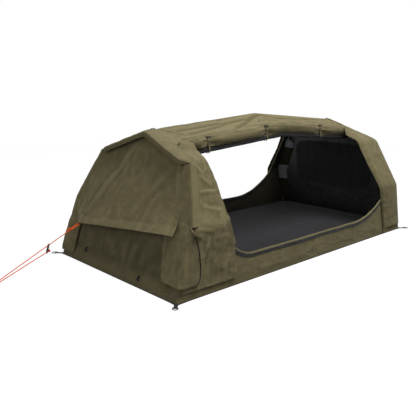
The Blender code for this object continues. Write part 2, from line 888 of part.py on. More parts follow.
def zip_slider(name, side, x, inside):
    """Slider with its pull hanging straight down, on the straight part of the sill."""
    run = run_at_height(sill_height) - zip_edge - zip_width / 2
    face = -canvas - 2 * gap - zip_thick if inside else 2 * gap + zip_thick
    away = -1 if inside else 1
    half = slider_height / 2
    profile = [(0, -half), (slider_depth - pull_thick, -half), (slider_depth - pull_thick, -pull_length),
               (slider_depth, -pull_length), (slider_depth, half * 0.6),
               (slider_depth * 0.6, half), (0, half)]
    origin = skin(side, x, run, face)
    ring = [skin(side, x - slider_length / 2, run + up, face + away * out) for out, up in profile]
    loft(name, [prism_rings(ring, Vector((slider_length, 0, 0)))], black_plastic(), 0, origin)


def inset_section(inset):
    """Unrounded half-section moved in by an inset, for the poles under the canvas."""
    corners = [Vector((base_half_width, 0)), Vector((knee_half_width, knee_height)),
               Vector((shoulder_half_width, shoulder_height)), Vector((0, apex_height))]
    lines = []
    for a, b in zip(corners, corners[1:]):
        run = (b - a).normalized()
        shift = Vector((-run.y, run.x)) * inset
        lines.append((a + shift, run))
    moved = []
    for (a, run), (b, other) in zip(lines, lines[1:]):
        along = (b - a).cross(other) / run.cross(other)
        moved.append(a + run * along)
    first, run = lines[0]
    start_height = ground_thick + 2 * gap + foot_cup_height
    start = first + run * ((start_height - first.y) / run.y)
    last, run = lines[-1]
    end = last + run * ((hub_half_arm + gap + pole_radius * roof_fall - last.x) / run.x)
    return [start] + moved + [end]


pole_inset = canvas + 2 * gap + foot_cup_radius


def pole_x(end, height):
    """Hoop poles stand just inside the end walls."""
    return hoop_x(end, height) - end * (canvas + net + 3 * gap + foot_cup_radius)


def tube(name, points, radius, material, rings=2):
    """Round bar or cord along a path, as a curve with a bevel and filled ends."""
    curve = bpy.data.curves.new(name, "CURVE")
    curve.dimensions = "3D"
    curve.bevel_depth = radius
    curve.bevel_resolution = rings
    curve.use_fill_caps = True
    spline = curve.splines.new("POLY")
    spline.points.add(len(points) - 1)
    for slot, point in zip(spline.points, points):
        slot.co = (*point, 1)
    made = bpy.data.objects.new(name, curve)
    bpy.context.scene.collection.objects.link(made)
    curve.materials.append(material)
    return made


def hoop_half(label, end_label):
    """Half of a hoop: one alloy pole bent at knee and shoulder, from its cup to the hub."""
    side, end = SIDES[label], ENDS[end_label]
    flat = bend(inset_section(pole_inset), knee_bend, bend_steps)
    points = [Vector((pole_x(end, p.y), side * p.x, p.y)) for p in flat]
    tube(end_label + "_hoop_" + label, points, pole_radius, pole_alloy())


def pole_cups():
    """Cups moulded on the ground sheet that hold the four hoop ends."""
    sides = 10
    start = inset_section(pole_inset)[0]
    groups = []
    for end in ENDS.values():
        for side in SIDES.values():
            middle = Vector((pole_x(end, start.y), side * start.x, ground_thick / 2))
            lean = foot_lean if end == FOOT else head_lean
            height = start.y - gap - pole_radius * lean - middle.z
            rings = []
            for height_share, radius_share in cup_profile_shares:
                rings.append(round_ring(middle + Z_AXIS * (height * height_share), X_AXIS, Y_AXIS,
                                        foot_cup_radius * radius_share, sides))
            groups.append(rings)
    return groups


def ridge_axis(x):
    """Height of the ridge pole's middle, close under the canvas."""
    return ridge_height(x) - canvas - 2 * gap - joiner_radius


def hub_rings(end):
    """Angled hub that both halves of a hoop butt against."""
    x = pole_x(end, apex_height)
    peak = inset_section(pole_inset)[-1]
    drop = apex_height - peak.y
    rings = []
    for share in (-1, -0.35, 0.35, 1):
        across = hub_half_arm * share
        rise = roof_fall * (hub_half_arm - abs(across))
        height = apex_height - drop + rise
        if abs(share) < 1:
            height = apex_height - drop + roof_fall * hub_half_arm * 0.4
        rings.append([Vector((x + u * hub_half_width, across, height + v * hub_half_height))
                      for u, v in ((-0.8, -1), (0.8, -1), (1, 0), (0.8, 1), (-0.8, 1), (-1, 0))])
    return rings


def ridge_pole(end_label):
    """One length of the ridge pole with its hub; the foot length also carries the bent joiner."""
    end, sides = ENDS[end_label], 8
    outer = pole_x(end, apex_height) - end * hub_half_width / 2
    inner = ridge_peak_x + end * (joiner_half + gap if end == HEAD else gap)
    pole = []
    for share in (0, 0.5, 1):
        x = outer + (inner - outer) * share
        pole.append(round_ring(Vector((x, 0, ridge_axis(x))), Y_AXIS, Z_AXIS, pole_radius, sides))
    body = loft("ridge_pole_" + end_label, [pole], pole_alloy())
    groups = [hub_rings(end)]
    if end == FOOT:
        joiner = []
        for place_share, size_share in joiner_profile_shares:
            x = ridge_peak_x + joiner_half * place_share
            joiner.append(round_ring(Vector((x, 0, ridge_axis(x))), Y_AXIS, Z_AXIS,
                                     joiner_radius * size_share, sides))
        groups.append(joiner)
    unite(body, groups)


def pole_sleeve():
    """Flat cloth sleeve round the rear leg of the head hoop, from the mattress to the shoulder."""
    sides = 12
    flat = bend(inset_section(pole_inset), knee_bend, bend_steps)
    widths, heights = [p.x for p in flat], [p.y for p in flat]
    low, high = [Vector((table(height, heights, widths), height))
                 for height in (sleeve_low_height, sleeve_high_height)]
    path = [low] + [p for p in flat if low.y < p.y < high.y] + [high]
    near = pole_radius + 2 * gap
    bore = [Vector((math.cos(math.tau * k / sides), math.sin(math.tau * k / sides))) for k in range(sides)]
    cloth = []
    for turn in bore:
        deep = -sleeve_half_depth if turn.x < 0 else foot_cup_radius
        wide = -sleeve_half_width if turn.y < 0 else foot_cup_radius
        cloth.append(Vector((abs(turn.x) * deep, abs(turn.y) * wide)))
    build = bmesh.new()
    layers = []
    for i, spot in enumerate(path):
        run = (path[min(i + 1, len(path) - 1)] - path[max(i - 1, 0)]).normalized()
        out = Vector((run.y, -run.x))
        pair = []
        for steps in (cloth, [turn * near for turn in bore]):
            line = []
            for step in steps:
                across = spot + out * step.y
                line.append(build.verts.new((pole_x(HEAD, across.y) + step.x, REAR * across.x, across.y)))
            pair.append(line)
        layers.append(pair)
    for k in range(sides):
        m = (k + 1) % sides
        for (low_out, low_in), (high_out, high_in) in zip(layers, layers[1:]):
            build.faces.new((low_out[k], low_out[m], high_out[m], high_out[k]))
            build.faces.new((low_in[k], low_in[m], high_in[m], high_in[k]))
        for cloth, bore in (layers[0], layers[-1]):
            build.faces.new((cloth[k], cloth[m], bore[m], bore[k]))
    solid("head_pole_sleeve", build, canvas_olive(), math.radians(50))


def mattress_ring(grow, height, steps=10):
    """Rounded rectangle of the mattress at a height, grown or drawn in."""
    half_x = mattress_length / 2 + grow
    half_y = mattress_width / 2 + grow
    radius = mattress_corner + grow
    ring = []
    for quarter in range(4):
        sx = 1 if quarter in (0, 3) else -1
        sy = 1 if quarter in (0, 1) else -1
        for k in range(steps):
            angle = math.tau / 4 * (quarter + k / (steps - 1))
            ring.append(Vector((sx * (half_x - radius) + radius * math.cos(angle),
                                sy * (half_y - radius) + radius * math.sin(angle), height)))
    return ring


def crown_rings(ring, height, crown, inner_shares):
    """Rings that carry a cushion's top up to its crown."""
    rings = []
    for share in inner_shares:
        rise = crown * (1 - share ** 2)
        rings.append([Vector((p.x * share, p.y * share, height + rise)) for p in ring])
    return rings


def mattress():
    """Foam slab, and the fitted cover over its top and sides."""
    floor = ground_thick + gap
    top = floor + mattress_height
    inner = cover_cloth + gap
    foam = [mattress_ring(-inner, floor),
            mattress_ring(-inner - mattress_draw_in, floor + mattress_height / 2),
            mattress_ring(-inner, top - mattress_draw_in - inner),
            mattress_ring(-inner - mattress_draw_in, top - inner)]
    foam += crown_rings(foam[-1], top - inner, mattress_crown, (0.7, 0.35))
    loft("mattress_foam", [foam], finish("grey foam", (0.2, 0.2, 0.21), 0.95))
    shell = [mattress_ring(0, floor), mattress_ring(-mattress_draw_in, floor + mattress_height / 2),
             mattress_ring(0, top - mattress_draw_in), mattress_ring(-mattress_draw_in, top)]
    shell += crown_rings(shell[-1], top, mattress_crown, (0.7, 0.35))
    build = bmesh.new()
    layers = [[build.verts.new(p) for p in ring] for ring in shell]
    count = len(shell[0])
    for low, high in zip(layers, layers[1:]):
        for k in range(count):
            build.faces.new((low[k], low[(k + 1) % count], high[(k + 1) % count], high[k]))
    build.faces.new(layers[-1])
    cover = solid("mattress_cover", build, charcoal(), math.radians(50))
    wall = cover.modifiers.new("cloth", "SOLIDIFY")
    wall.thickness = cover_cloth
    wall.offset = -1
    wall.use_rim = True


def corner_frame(end, side):
    """Corner of the ground sheet, outward direction along its diagonal, and direction across."""
    corner = Vector((end * base_length / 2, side * base_width / 2, 0))
    out = Vector((end, side, 0)).normalized()
    return corner, out, Vector((-out.y, out.x, 0))


eye_radius = ring_wire + eye_clearance
eye_height = gap + webbing_thick + eye_radius


def corner_webbing():
    """Webbing sewn to each corner of the ground sheet and folded round a ring's straight bar."""
    groups = []
    for end in ENDS.values():
        for side in SIDES.values():
            corner, out, across = corner_frame(end, side)
            eye = arc((webbing_reach, eye_height), eye_radius, eye_radius,
                      math.radians(130), math.radians(-130), 8)
            root = ground_thick / 2
            path = [Vector((-webbing_root, root)), Vector((webbing_reach / 2, root))] + eye
            outline = ribbon_outline(path, webbing_thick)
            ring = [corner + out * p.x + Vector((0, 0, p.y)) - across * (webbing_width / 2) for p in outline]
            groups.append(prism_rings(ring, across * webbing_width))
    return groups


def add_ring(build, path, plane_normal, radius, sides):
    """Round wire along a closed flat path."""
    count = len(path)
    rings = []
    for i in range(count):
        tread = (path[(i + 1) % count] - path[i - 1]).normalized()
        out = tread.cross(plane_normal)
        rings.append([build.verts.new(path[i] + (out * math.cos(math.tau * k / sides)
                                                 + plane_normal * math.sin(math.tau * k / sides)) * radius)
                      for k in range(sides)])
    for i in range(count):
        low, high = rings[i], rings[(i + 1) % count]
        for k in range(sides):
            build.faces.new((low[k], low[(k + 1) % sides], high[(k + 1) % sides], high[k]))


def corner_ring(label, end_label):
    """Steel D ring hanging in a corner's webbing, hinged on its straight bar."""
    side, end = SIDES[label], ENDS[end_label]
    corner, out, across = corner_frame(end, side)
    centre = corner + out * webbing_reach + Vector((0, 0, eye_height))
    bow = arc((0, 0), ring_depth, ring_half_width, math.radians(-75), math.radians(75), 10)
    start = Vector((0, -ring_half_width + ring_wire))
    flat = [start, -start] + bow[::-1]
    path = [centre + out * p.x + across * p.y for p in flat]
    build = bmesh.new()
    add_ring(build, path, Z_AXIS, ring_wire, 6)
    solid(label + "_" + end_label + "_ring", build, ring_steel(), math.radians(60), centre)


def guy_corner():
    """Outer face of the awning's rear corner, where the guy line is tied."""
    return end_plane(FOOT, awning_rear_corner[0], awning_rear_corner[1], awning_seam_lift + awning_reach)


def guy_frame():
    """Unit directions along the guy line, level across it, and square to both."""
    along = (Vector(guy_route[adjuster_seat]) - guy_corner()).normalized()
    across = along.cross(Z_AXIS).normalized()
    return along, across, across.cross(along)


def ridge_loop(end):
    """Small webbing loop standing on the ridge beside a hoop."""
    x = hoop_x(end, apex_height) - end * loop_length
    tilt = (ridge_height(x + loop_length / 2) - ridge_height(x - loop_length / 2)) / loop_length
    outline = ribbon_outline(arc((0, 0), loop_length / 2, loop_height, math.pi, 0, 8), loop_thick)
    base = ridge_height(x) - sewn_depth
    ring = [Vector((x + p.x, -loop_width / 2, base + p.y + tilt * p.x)) for p in outline]
    return prism_rings(ring, Vector((0, loop_width, 0)))


def guy_tab():
    """Webbing tab sewn to the awning's rear corner."""
    along, across, up = guy_frame()
    start = guy_corner() - along * loop_width / 2
    corners = ((-1, -1), (1, -1), (1, 1), (-1, 1))
    tab = [start + across * (loop_width / 2 * u) + up * (loop_thick / 2 * v) for u, v in corners]
    return prism_rings(tab, along * (loop_width * 3 / 2))


def smooth_route(route, count):
    """Even points along a smooth curve through a route's own points."""
    spots = [Vector(p) for p in route]
    spots = [spots[0] * 2 - spots[1]] + spots + [spots[-1] * 2 - spots[-2]]
    fine, steps = [], 10
    for a, b, c, d in zip(spots, spots[1:], spots[2:], spots[3:]):
        for k in range(steps):
            t = k / steps
            fine.append((b * 2 + (c - a) * t + (a * 2 - b * 5 + c * 4 - d) * t ** 2
                         + (b * 3 - a - c * 3 + d) * t ** 3) / 2)
    fine.append(spots[-2])
    runs = [0.0]
    for a, b in zip(fine, fine[1:]):
        runs.append(runs[-1] + (b - a).length)
    even, k = [], 0
    for i in range(count):
        target = runs[-1] * i / (count - 1)
        while k < len(runs) - 2 and runs[k + 1] < target:
            k += 1
        even.append(fine[k].lerp(fine[k + 1], (target - runs[k]) / (runs[k + 1] - runs[k])))
    return even


def guy_line():
    """The free rope, from its hitch round the peg and back through the adjuster."""
    tube("guy_line", smooth_route(guy_route, rope_points), rope_diameter / 2, orange_cord())


def knot_rings(centre, along, sides=8):
    """A tight knot as a solid with two bulges, in line with its rope."""
    across = along.cross(Z_AXIS).normalized()
    up = across.cross(along)
    return [round_ring(centre + along * (knot_half * place_share), across, up,
                       knot_radius * size_share, sides)
            for place_share, size_share in knot_profile_shares]


def guy_hitch():
    """The rope's loop through the awning's tab and the hitch that closes it."""
    along, across, up = guy_frame()
    centre = Vector(guy_route[0]) - along * (knot_half + gap)
    radius = rope_diameter / 2
    near = guy_corner() + along * (loop_width + gap + radius)
    far = centre
    middle, half = (near + far) / 2, (far - near).length / 2
    steps = 22
    path = []
    for k in range(steps):
        angle = math.tau * k / steps
        path.append(middle + along * (half * math.cos(angle)) + across * (hitch_half_width * math.sin(angle)))
    build = bmesh.new()
    add_ring(build, path, up, radius, 8)
    body = solid("guy_hitch", build, orange_cord(), math.radians(60))
    unite(body, [knot_rings(centre, along)])


def guy_stopper():
    """Stopper knot that bears on the adjuster."""
    back = (Vector(guy_route[-1]) - Vector(guy_route[-2])).normalized()
    centre = Vector(guy_route[-1]) + back * (knot_half + gap)
    loft("guy_stopper_knot", [knot_rings(centre, back)], orange_cord())


def guy_adjuster():
    """Plastic runner with a hole for each strand, leaning along the rope under load."""
    along, _, _ = guy_frame()
    top = Vector(guy_route[adjuster_seat])
    low = Vector(guy_route[-2]).lerp(Vector(guy_route[-1]), adjuster_low_share)
    axis = (low - top).normalized()
    across = axis.cross(along).normalized()
    normal = across.cross(axis)
    outline = []
    for centre, turn in ((low, 0), (top, math.pi)):
        for p in arc((0, 0), adjuster_half_width, adjuster_overhang, turn, turn + math.pi, 6):
            outline.append(centre + across * p.x + axis * p.y - normal * (adjuster_thick / 2))
    body = loft("guy_adjuster", [prism_rings(outline, normal * adjuster_thick)],
                black_plastic(), math.radians(30))
    sides = 10
    for label, centre in (("top", top), ("low", low)):
        ring = round_ring(centre - along * (drill_length / 2), across, along.cross(across),
                          adjuster_hole, sides)
        drill = loft("drill_" + label, [prism_rings(ring, along * drill_length)], black_plastic(), 0)
        drill.hide_render = True
        drill.display_type = "WIRE"
        hole = body.modifiers.new("hole", "BOOLEAN")
        hole.operation = "DIFFERENCE"
        hole.solver = "EXACT"
        hole.object = drill


def clear_scene():
    """Takes out whatever the file holds before the model is made."""
    for old in list(bpy.data.objects):
        bpy.data.objects.remove(old)


def main():
    clear_scene()
    ground_sheet()
    mattress()
    for label in SIDES:
        side_wall(label)
        for end_label in ENDS:
            upper_quarter(label, end_label)
            storm_flap(label, end_label)
            hoop_half(label, end_label)
            corner_ring(label, end_label)
        corner_sleeve(label)
        door_rolls(label)
        door_zip(label)
        zip_slider(label + "_canvas_zip_slider", SIDES[label], front_slider_x, False)
        zip_slider(label + "_net_zip_slider", SIDES[label], net_slider_x, True)
        for place_label in tie_x_places:
            roll_tie(label, place_label)
            toggle(label, place_label)
    for end_label in ENDS:
        roof_panel(end_label)
        ridge_pole(end_label)
    end_wall("foot", foot_window_half, foot_window_height)
    end_wall("head", head_window_half, head_window_height)
    windows()
    awning()
    pole_sleeve()
    guy_hitch()
    guy_stopper()
    guy_adjuster()
    guy_line()


main()
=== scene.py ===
"""Looks of a swag bedroll pitched as a one-person tunnel.

Canvas panels with their folds, hems and stitches, rolled doors held by straps, zips, webbing,
poles, a padded mattress and a braided guy line are built round the fixed frame. The file is
laid out as a Blender add-on and is run as a script.
"""
import itertools
import math

import bmesh
import bpy
import numpy as np
from bpy.props import FloatProperty, FloatVectorProperty, IntProperty, PointerProperty
from bpy.types import Operator, Panel, PropertyGroup
from mathutils import Matrix, Vector
from mathutils.bvhtree import BVHTree


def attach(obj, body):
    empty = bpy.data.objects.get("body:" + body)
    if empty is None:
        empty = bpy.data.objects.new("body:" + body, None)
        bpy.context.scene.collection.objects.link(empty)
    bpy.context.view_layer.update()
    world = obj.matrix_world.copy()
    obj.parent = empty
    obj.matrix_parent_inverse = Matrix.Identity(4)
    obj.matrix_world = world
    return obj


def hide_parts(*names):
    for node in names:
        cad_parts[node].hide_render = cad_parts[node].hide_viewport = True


bl_info = {
    "name": "Swag Bedroll",
    "version": (1, 0, 0),
    "blender": (4, 5, 0),
    "location": "3D View > Sidebar > Swag",
    "description": "Builds the cloth, zips, straps, mattress and guy line of a pitched swag bedroll",
    "category": "Object",
}

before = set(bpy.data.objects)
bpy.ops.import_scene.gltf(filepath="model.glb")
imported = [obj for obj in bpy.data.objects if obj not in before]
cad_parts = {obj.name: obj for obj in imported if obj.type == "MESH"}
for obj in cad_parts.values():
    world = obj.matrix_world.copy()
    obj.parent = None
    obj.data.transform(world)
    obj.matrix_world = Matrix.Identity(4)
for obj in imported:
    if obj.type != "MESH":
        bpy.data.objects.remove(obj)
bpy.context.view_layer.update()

FRONT, REAR = -1, 1
FOOT, HEAD = -1, 1
SIDES = {"front": FRONT, "rear": REAR}
ENDS = {"foot": FOOT, "head": HEAD}
X_AXIS, Y_AXIS, Z_AXIS = np.eye(3)

# The pitched shape, in metres
base_length = 2.150
base_width = 1.100
hem_inset = 0.010
knee_height = 0.338
knee_half_width = 0.533
shoulder_height = 0.645
shoulder_half_width = 0.388
apex_height = 0.774
foot_setback = 0.268
head_setback = 0.176
ridge_peak_height = 0.842
ridge_peak_x = 0.053
ridge_round = 0.016
knee_bend = 0.05
shoulder_bend = 0.055
bend_steps = 12
canvas = 0.0025
flap_cloth = 0.002
net = 0.001
gap = 0.0003
ground_thick = 0.0025
stitch_lift = 0.0004

# Points that a panel's outer face looks away from
tent_heart = (0, 0, knee_height)
foot_heart = (0, 0, 0.45)

# Door openings, storm flaps and zips
foot_margin_x = 0.290 - base_length / 2
head_margin_x = base_length / 2 - 0.205
foot_margin_lean = 0.050
head_margin_lean = 0.070
sill_height = 0.146
foot_corner_run = 0.285
head_corner_run = 0.420
corner_power = 2.2
roof_half_width = 0.200
flap_top_half_width = 0.280
flap_hem_height = 0.045
flap_gap = 0.0045
foot_flap_reach = 0.120
head_flap_reach = 0.204
rear_flap_reach = 0.020
flap_place_shares = (0, 0.14, 0.275, 0.385, 0.56, 0.71, 0.85, 1, 1.07)
foot_flap_shares = (1, 0.98, 0.88, 0.63, 0.53, 0.53, 0.35, 0.3, 0.19)
head_flap_shares = (0.23, 0.33, 0.45, 0.6, 0.8, 0.95, 1, 0.85, 0.30)
rear_flap_shares = (1, 1, 1, 1, 1, 1, 1, 1, 1)
zip_width = 0.019
zip_edge = 0.004
zip_thick = 0.0018
binding_rise = 0.0030
flap_cover_half_widths = {FRONT: 0.232, REAR: 0.250}
flap_cover_lift = 0.019

# Rolled doors and ties
roll_drop = 0.072
roll_half_height = 0.034
roll_half_depth = 0.030
net_roll_radius = 0.0175
roll_start_x = foot_margin_x + 0.073
roll_end_x = head_margin_x - 0.092
roll_taper = 0.060
roll_tuck = {"foot": 0.060, "head": 0.042}
tie_x_places = {"foot": roll_start_x + 0.135, "middle": -0.100, "head": roll_end_x - 0.327}
pinch_width = 0.045
pinch_share = 0.38
tie_width = 0.014
tie_thick = 0.0015
tie_gap = 0.0022
toggle_length = 0.036
toggle_radius = 0.0045
toggle_angle = math.radians(38)

# End walls, awning and corner sleeves
window_power = 5
foot_window_half = (0.235, 0.125)
foot_window_height = 0.455
head_window_half = (0.310, 0.150)
head_window_height = 0.425
window_seam = 0.022
window_cover_border = 0.045
awning_peak = (0, 0.752)
awning_front_edge = ((0.285, 0.640), (0.398, 0.430), (0.449, 0.306))
awning_front_shares = (0, 0.5, 1)
awning_rear_edge = ((0.376, 0.634), (0.519, 0.345), (0.515, 0.300))
awning_rear_shares = (0, 0.875, 1)
awning_rear_corner = (0.383, 0.221)
awning_reach = 0.030
awning_flare = 0.020
brim_reach = {"foot": 1.0, "head": 0.35}
awning_seam_lift = 0.0028
sleeve_top = {"front": 0.385, "rear": 0.262}
sleeve_hem = {"front": 0.075, "rear": 0.030}
sleeve_inner_top = {"front": 0.300, "rear": 0.415}
sleeve_inner_hem = {"front": 0.392, "rear": 0.430}
sleeve_lift = 0.0125
sleeve_edge_shares = (0, 0.10, 0.28, 0.48, 0.71, 0.89, 1)
sleeve_edges = {"front": (0.078, 0.084, 0.068, 0.038, 0.002, -0.036, -0.090),
                "rear": (0.065, 0.078, 0.092, 0.104, 0.095, 0.072, 0.058)}
sleeve_lift_shares = {"front": (1.0, 1.1, 1.2, 1.3, 1.1, 0.7, 0.4),
                      "rear": (0.35, 0.8, 1.0, 1.0, 0.9, 0.5, 0.25)}

# The guy line's own points from its hitch round the absent peg and back to its runner
rope_diameter = 0.005
guy_route = (
    (-1.105, 0.362, 0.193), (-1.160, 0.349, 0.175), (-1.216, 0.335, 0.157), (-1.264, 0.324, 0.141),
    (-1.327, 0.308, 0.121), (-1.410, 0.288, 0.093), (-1.502, 0.265, 0.063), (-1.576, 0.247, 0.038),
    (-1.609, 0.239, 0.028), (-1.618, 0.235, 0.024), (-1.619, 0.229, 0.024), (-1.615, 0.224, 0.024),
    (-1.605, 0.225, 0.027), (-1.572, 0.234, 0.035), (-1.497, 0.257, 0.052), (-1.422, 0.279, 0.070),
    (-1.365, 0.295, 0.083), (-1.318, 0.309, 0.094), (-1.289, 0.317, 0.101), (-1.270, 0.322, 0.107))


class SwagCloth(PropertyGroup):
    """Fineness of the cloth and size of its stitches."""
    cell: FloatProperty(name="Cell", description="Size of a cloth mesh's cells", default=0.008,
                        min=0.003, max=0.05, unit="LENGTH")
    fold_share: FloatProperty(name="Folds", description="Depth of all folds, 1 as pitched",
                              default=1.0, min=0, max=2, subtype="FACTOR")
    stitch_pitch: FloatProperty(name="Stitch pitch", description="Distance from stitch to stitch",
                                default=0.0065, unit="LENGTH")
    stitch_length: FloatProperty(name="Stitch length", description="Length of one stitch",
                                 default=0.0046, unit="LENGTH")
    thread_width: FloatProperty(name="Thread width", description="Width of the sewing thread",
                                default=0.0008, unit="LENGTH")
    coil_pitch: FloatProperty(name="Zip coil pitch", description="Distance from turn to turn of a zip's coil",
                              default=0.0026, unit="LENGTH")
    coil_width: FloatProperty(name="Zip coil width", description="Width of a zip's coil",
                              default=0.0052, unit="LENGTH")


def colour(label, words, value):
    """A colour setting."""
    return FloatVectorProperty(name=label, description=words, default=value, size=3, min=0, max=1,
                               subtype="COLOR")


class SwagColours(PropertyGroup):
    """Colours of the cloth and fittings."""
    # Canvas, light is also the painted highlight on fold crests, and Canvas, deep the painted shade in fold
    # valleys
    canvas_light: colour("Canvas, light", "Olive canvas where it is worn and faded", (0.205, 0.176, 0.090))
    canvas_deep: colour("Canvas, deep", "Olive canvas in its folds", (0.122, 0.104, 0.050))
    inside_canvas: colour("Canvas inside", "Coated inner face of the low walls", (0.034, 0.029, 0.017))
    lining: colour("Lining", "Blackout lining of the roof and ends", (0.0065, 0.0075, 0.0075))
    vinyl: colour("Vinyl", "Black vinyl of the floor", (0.014, 0.014, 0.015))
    mattress: colour("Mattress", "Charcoal cover of the mattress", (0.0155, 0.0150, 0.0165))
    webbing: colour("Webbing", "Black webbing and zip tape", (0.010, 0.0105, 0.012))
    plastic: colour("Plastic", "Black toggles and runner", (0.009, 0.009, 0.010))
    cord: colour("Guy line", "Orange guy line", (0.95, 0.105, 0.006))
    thread: colour("Thread", "Olive sewing thread", (0.205, 0.178, 0.100))


class SwagMattress(PropertyGroup):
    """Size and filling of the mattress."""
    length: FloatProperty(name="Length", description="Length of the mattress", default=2.060, unit="LENGTH")
    width: FloatProperty(name="Width", description="Width of the mattress", default=0.980, unit="LENGTH")
    height: FloatProperty(name="Height", description="Height of the mattress", default=0.062, unit="LENGTH")
    corner: FloatProperty(name="Corner", description="Radius of its corners", default=0.090, unit="LENGTH")
    voxel: FloatProperty(name="Cell", description="Cell of the remeshed pad", default=0.016, unit="LENGTH")
    pressure: FloatProperty(name="Pressure", description="Pressure that fills the pad", default=4.0)
    most_move: FloatProperty(name="Most swell", description="Furthest that a point may swell",
                             default=0.006, unit="LENGTH")
    frames: IntProperty(name="Frames", description="Steps of the cloth simulation", default=20)


class SwagStage(PropertyGroup):
    """Camera, floor and lights."""
    camera_place: FloatVectorProperty(name="Camera", description="Place of the camera", size=3,
                                      default=(-2.6075, -2.3849, 1.0223), subtype="TRANSLATION")
    heading: FloatProperty(name="Heading", description="Turn of the view from +X towards +Y",
                           default=0.81357, subtype="ANGLE")
    dip: FloatProperty(name="Dip", description="Tilt of the view below level", default=0.22474,
                       subtype="ANGLE")
    roll: FloatProperty(name="Roll", description="Turn of the picture", default=0.00928, subtype="ANGLE")
    lens: FloatProperty(name="Lens", description="Focal length for a 36 mm sensor", default=46.951,
                        unit="CAMERA")
    floor_size: FloatProperty(name="Floor", description="Side of the pale floor", default=12.0, unit="LENGTH")
    key_power: FloatProperty(name="Key light", description="Power of the main soft light", default=255.0,
                             unit="POWER")
    fill_power: FloatProperty(name="Fill light", description="Power of the foot-end light", default=12.0,
                              unit="POWER")
    sky: FloatProperty(name="Sky", description="Strength of the even light", default=0.30)


# Small tools for numbers

def spread(start, stop, cell, least=2):
    """Even numbers from start to stop, about a cell apart."""
    return np.linspace(start, stop, max(least, int(math.ceil(abs(stop - start) / cell)) + 1))


def even_shares(cell, span):
    """Even numbers from 0 to 1, about a cell apart over a span."""
    return spread(0, 1, cell / span)


def stacked(*parts):
    """Points or rows of numbers from their parts."""
    return np.stack(parts, axis=-1)


def smooth(value):
    """Soft step from 0 to 1."""
    value = np.clip(value, 0, 1)
    return value * value * (3 - 2 * value)


def unit(vectors):
    """Vectors of length one."""
    return vectors / np.maximum(np.linalg.norm(vectors, axis=-1, keepdims=True), 1e-9)


def lattice_value(i, j, k, seed):
    """A fixed number from 0 to 1 for each lattice point."""
    mixed = np.sin(i * 127.1 + j * 311.7 + k * 74.7 + seed * 53.3) * 43758.5453
    return mixed - np.floor(mixed)


def noise(points, size, seed):
    """Smooth noise from -1 to 1 whose bumps are about one size across."""
    spot = points / np.asarray(size, float)
    low = np.floor(spot)
    part = smooth(spot - low)
    total = 0
    for corner in itertools.product((0, 1), repeat=3):
        weight = np.prod(np.where(np.array(corner) == 1, part, 1 - part), axis=-1)
        total = total + weight * lattice_value(*np.moveaxis(low + corner, -1, 0), seed)
    return total * 2 - 1


def layered_noise(points, size, seed, layers=3):
    """Noise with finer and weaker layers on top."""
    size = np.asarray(size, float)
    return sum(noise(points, size / 2 ** k, seed + k) / 2 ** k for k in range(layers)) / 1.5


def ridged_noise(points, size, seed, layers=2):
    """Noise with narrow crests, as in slack cloth."""
    size = np.asarray(size, float)
    return sum((1 - 2 * np.abs(noise(points, size / 2 ** k, seed + k))) / 2 ** k for k in range(layers)) / 1.5


def crease(points, start, end, width, depth):
    """A tension fold from start to end: a crest with a shallow trough on both sides."""
    start, end = np.array(start), np.array(end)
    line = end - start
    share = np.clip(((points - start) @ line) / (line @ line), 0, 1)
    away = np.linalg.norm(points - (start + share[..., None] * line), axis=-1) / width
    shape = np.exp(-away ** 2) - 0.35 * np.exp(-(away / 2.2) ** 2)
    return depth * shape * (0.35 + 0.65 * np.sin(math.pi * np.clip(0.08 + 0.84 * share, 0, 1)))


def blurred(field, passes=10):
    """A field smoothed over its neighbours."""
    for _ in range(passes):
        wide = np.pad(field, 1, mode="edge")
        field = (wide[:-2, 1:-1] + wide[2:, 1:-1] + wide[1:-1, :-2] + wide[1:-1, 2:]) / 4
    return field


def blurred_line(values, half=3):
    """A row of numbers smoothed over its neighbours."""
    wide = np.pad(values, half, mode="edge")
    return np.convolve(wide, np.full(2 * half + 1, 1 / (2 * half + 1)), mode="valid")


def run_along(path):
    """Running length along a path of points."""
    return np.concatenate([[0], np.cumsum(np.linalg.norm(np.diff(path, axis=0), axis=1))])


def lines_apart(grid, axis):
    """Running length along the rows (axis 1) or columns (axis 0) of a grid."""
    steps = np.linalg.norm(np.diff(grid, axis=axis), axis=-1)
    start = np.zeros_like(np.take(steps, [0], axis=axis))
    return np.concatenate([start, np.cumsum(steps, axis=axis)], axis=axis)


def edge_lengths(grid):
    """Distance of each point from the left, right, low and high edges of its grid."""
    across, up = lines_apart(grid, 1), lines_apart(grid, 0)
    return {"left": across, "right": across[:, -1:] - across, "low": up, "high": up[-1:] - up}


def inset_line(grid, edge, inset):
    """Points of a grid at an even distance from one of its edges."""
    away = edge_lengths(grid)[edge]
    if edge in ("low", "high"):
        grid, away = grid.transpose(1, 0, 2), away.T
    if edge in ("right", "high"):
        grid, away = grid[:, ::-1], away[:, ::-1]
    return np.array([table(inset, run, row) for row, run in zip(grid, away)])


# The tent's cross-section, walls and roof

base_half_width = base_width / 2 - hem_inset
section_corners = ((base_half_width, 0), (knee_half_width, knee_height),
                   (shoulder_half_width, shoulder_height), (0, apex_height))
foot_lean = foot_setback / apex_height
head_lean = head_setback / apex_height
roof_fall = (apex_height - shoulder_height) / shoulder_half_width


def bend(points, radius, steps):
    """Rounds the inner corners of a path with arcs."""
    path = [points[0]]
    for before, corner, after in zip(points, points[1:], points[2:]):
        back, ahead = (before - corner).normalized(), (after - corner).normalized()
        half = back.angle(ahead) / 2
        centre = corner + (back + ahead).normalized() * (radius / math.sin(half))
        start = corner + back * (radius / math.tan(half)) - centre
        end = corner + ahead * (radius / math.tan(half)) - centre
        swing = start.angle(end)
        for k in range(steps + 1):
            arm = start * math.sin((1 - k / steps) * swing) + end * math.sin(k / steps * swing)
            path.append(centre + arm / math.sin(swing))
    path.append(points[-1])
    return path


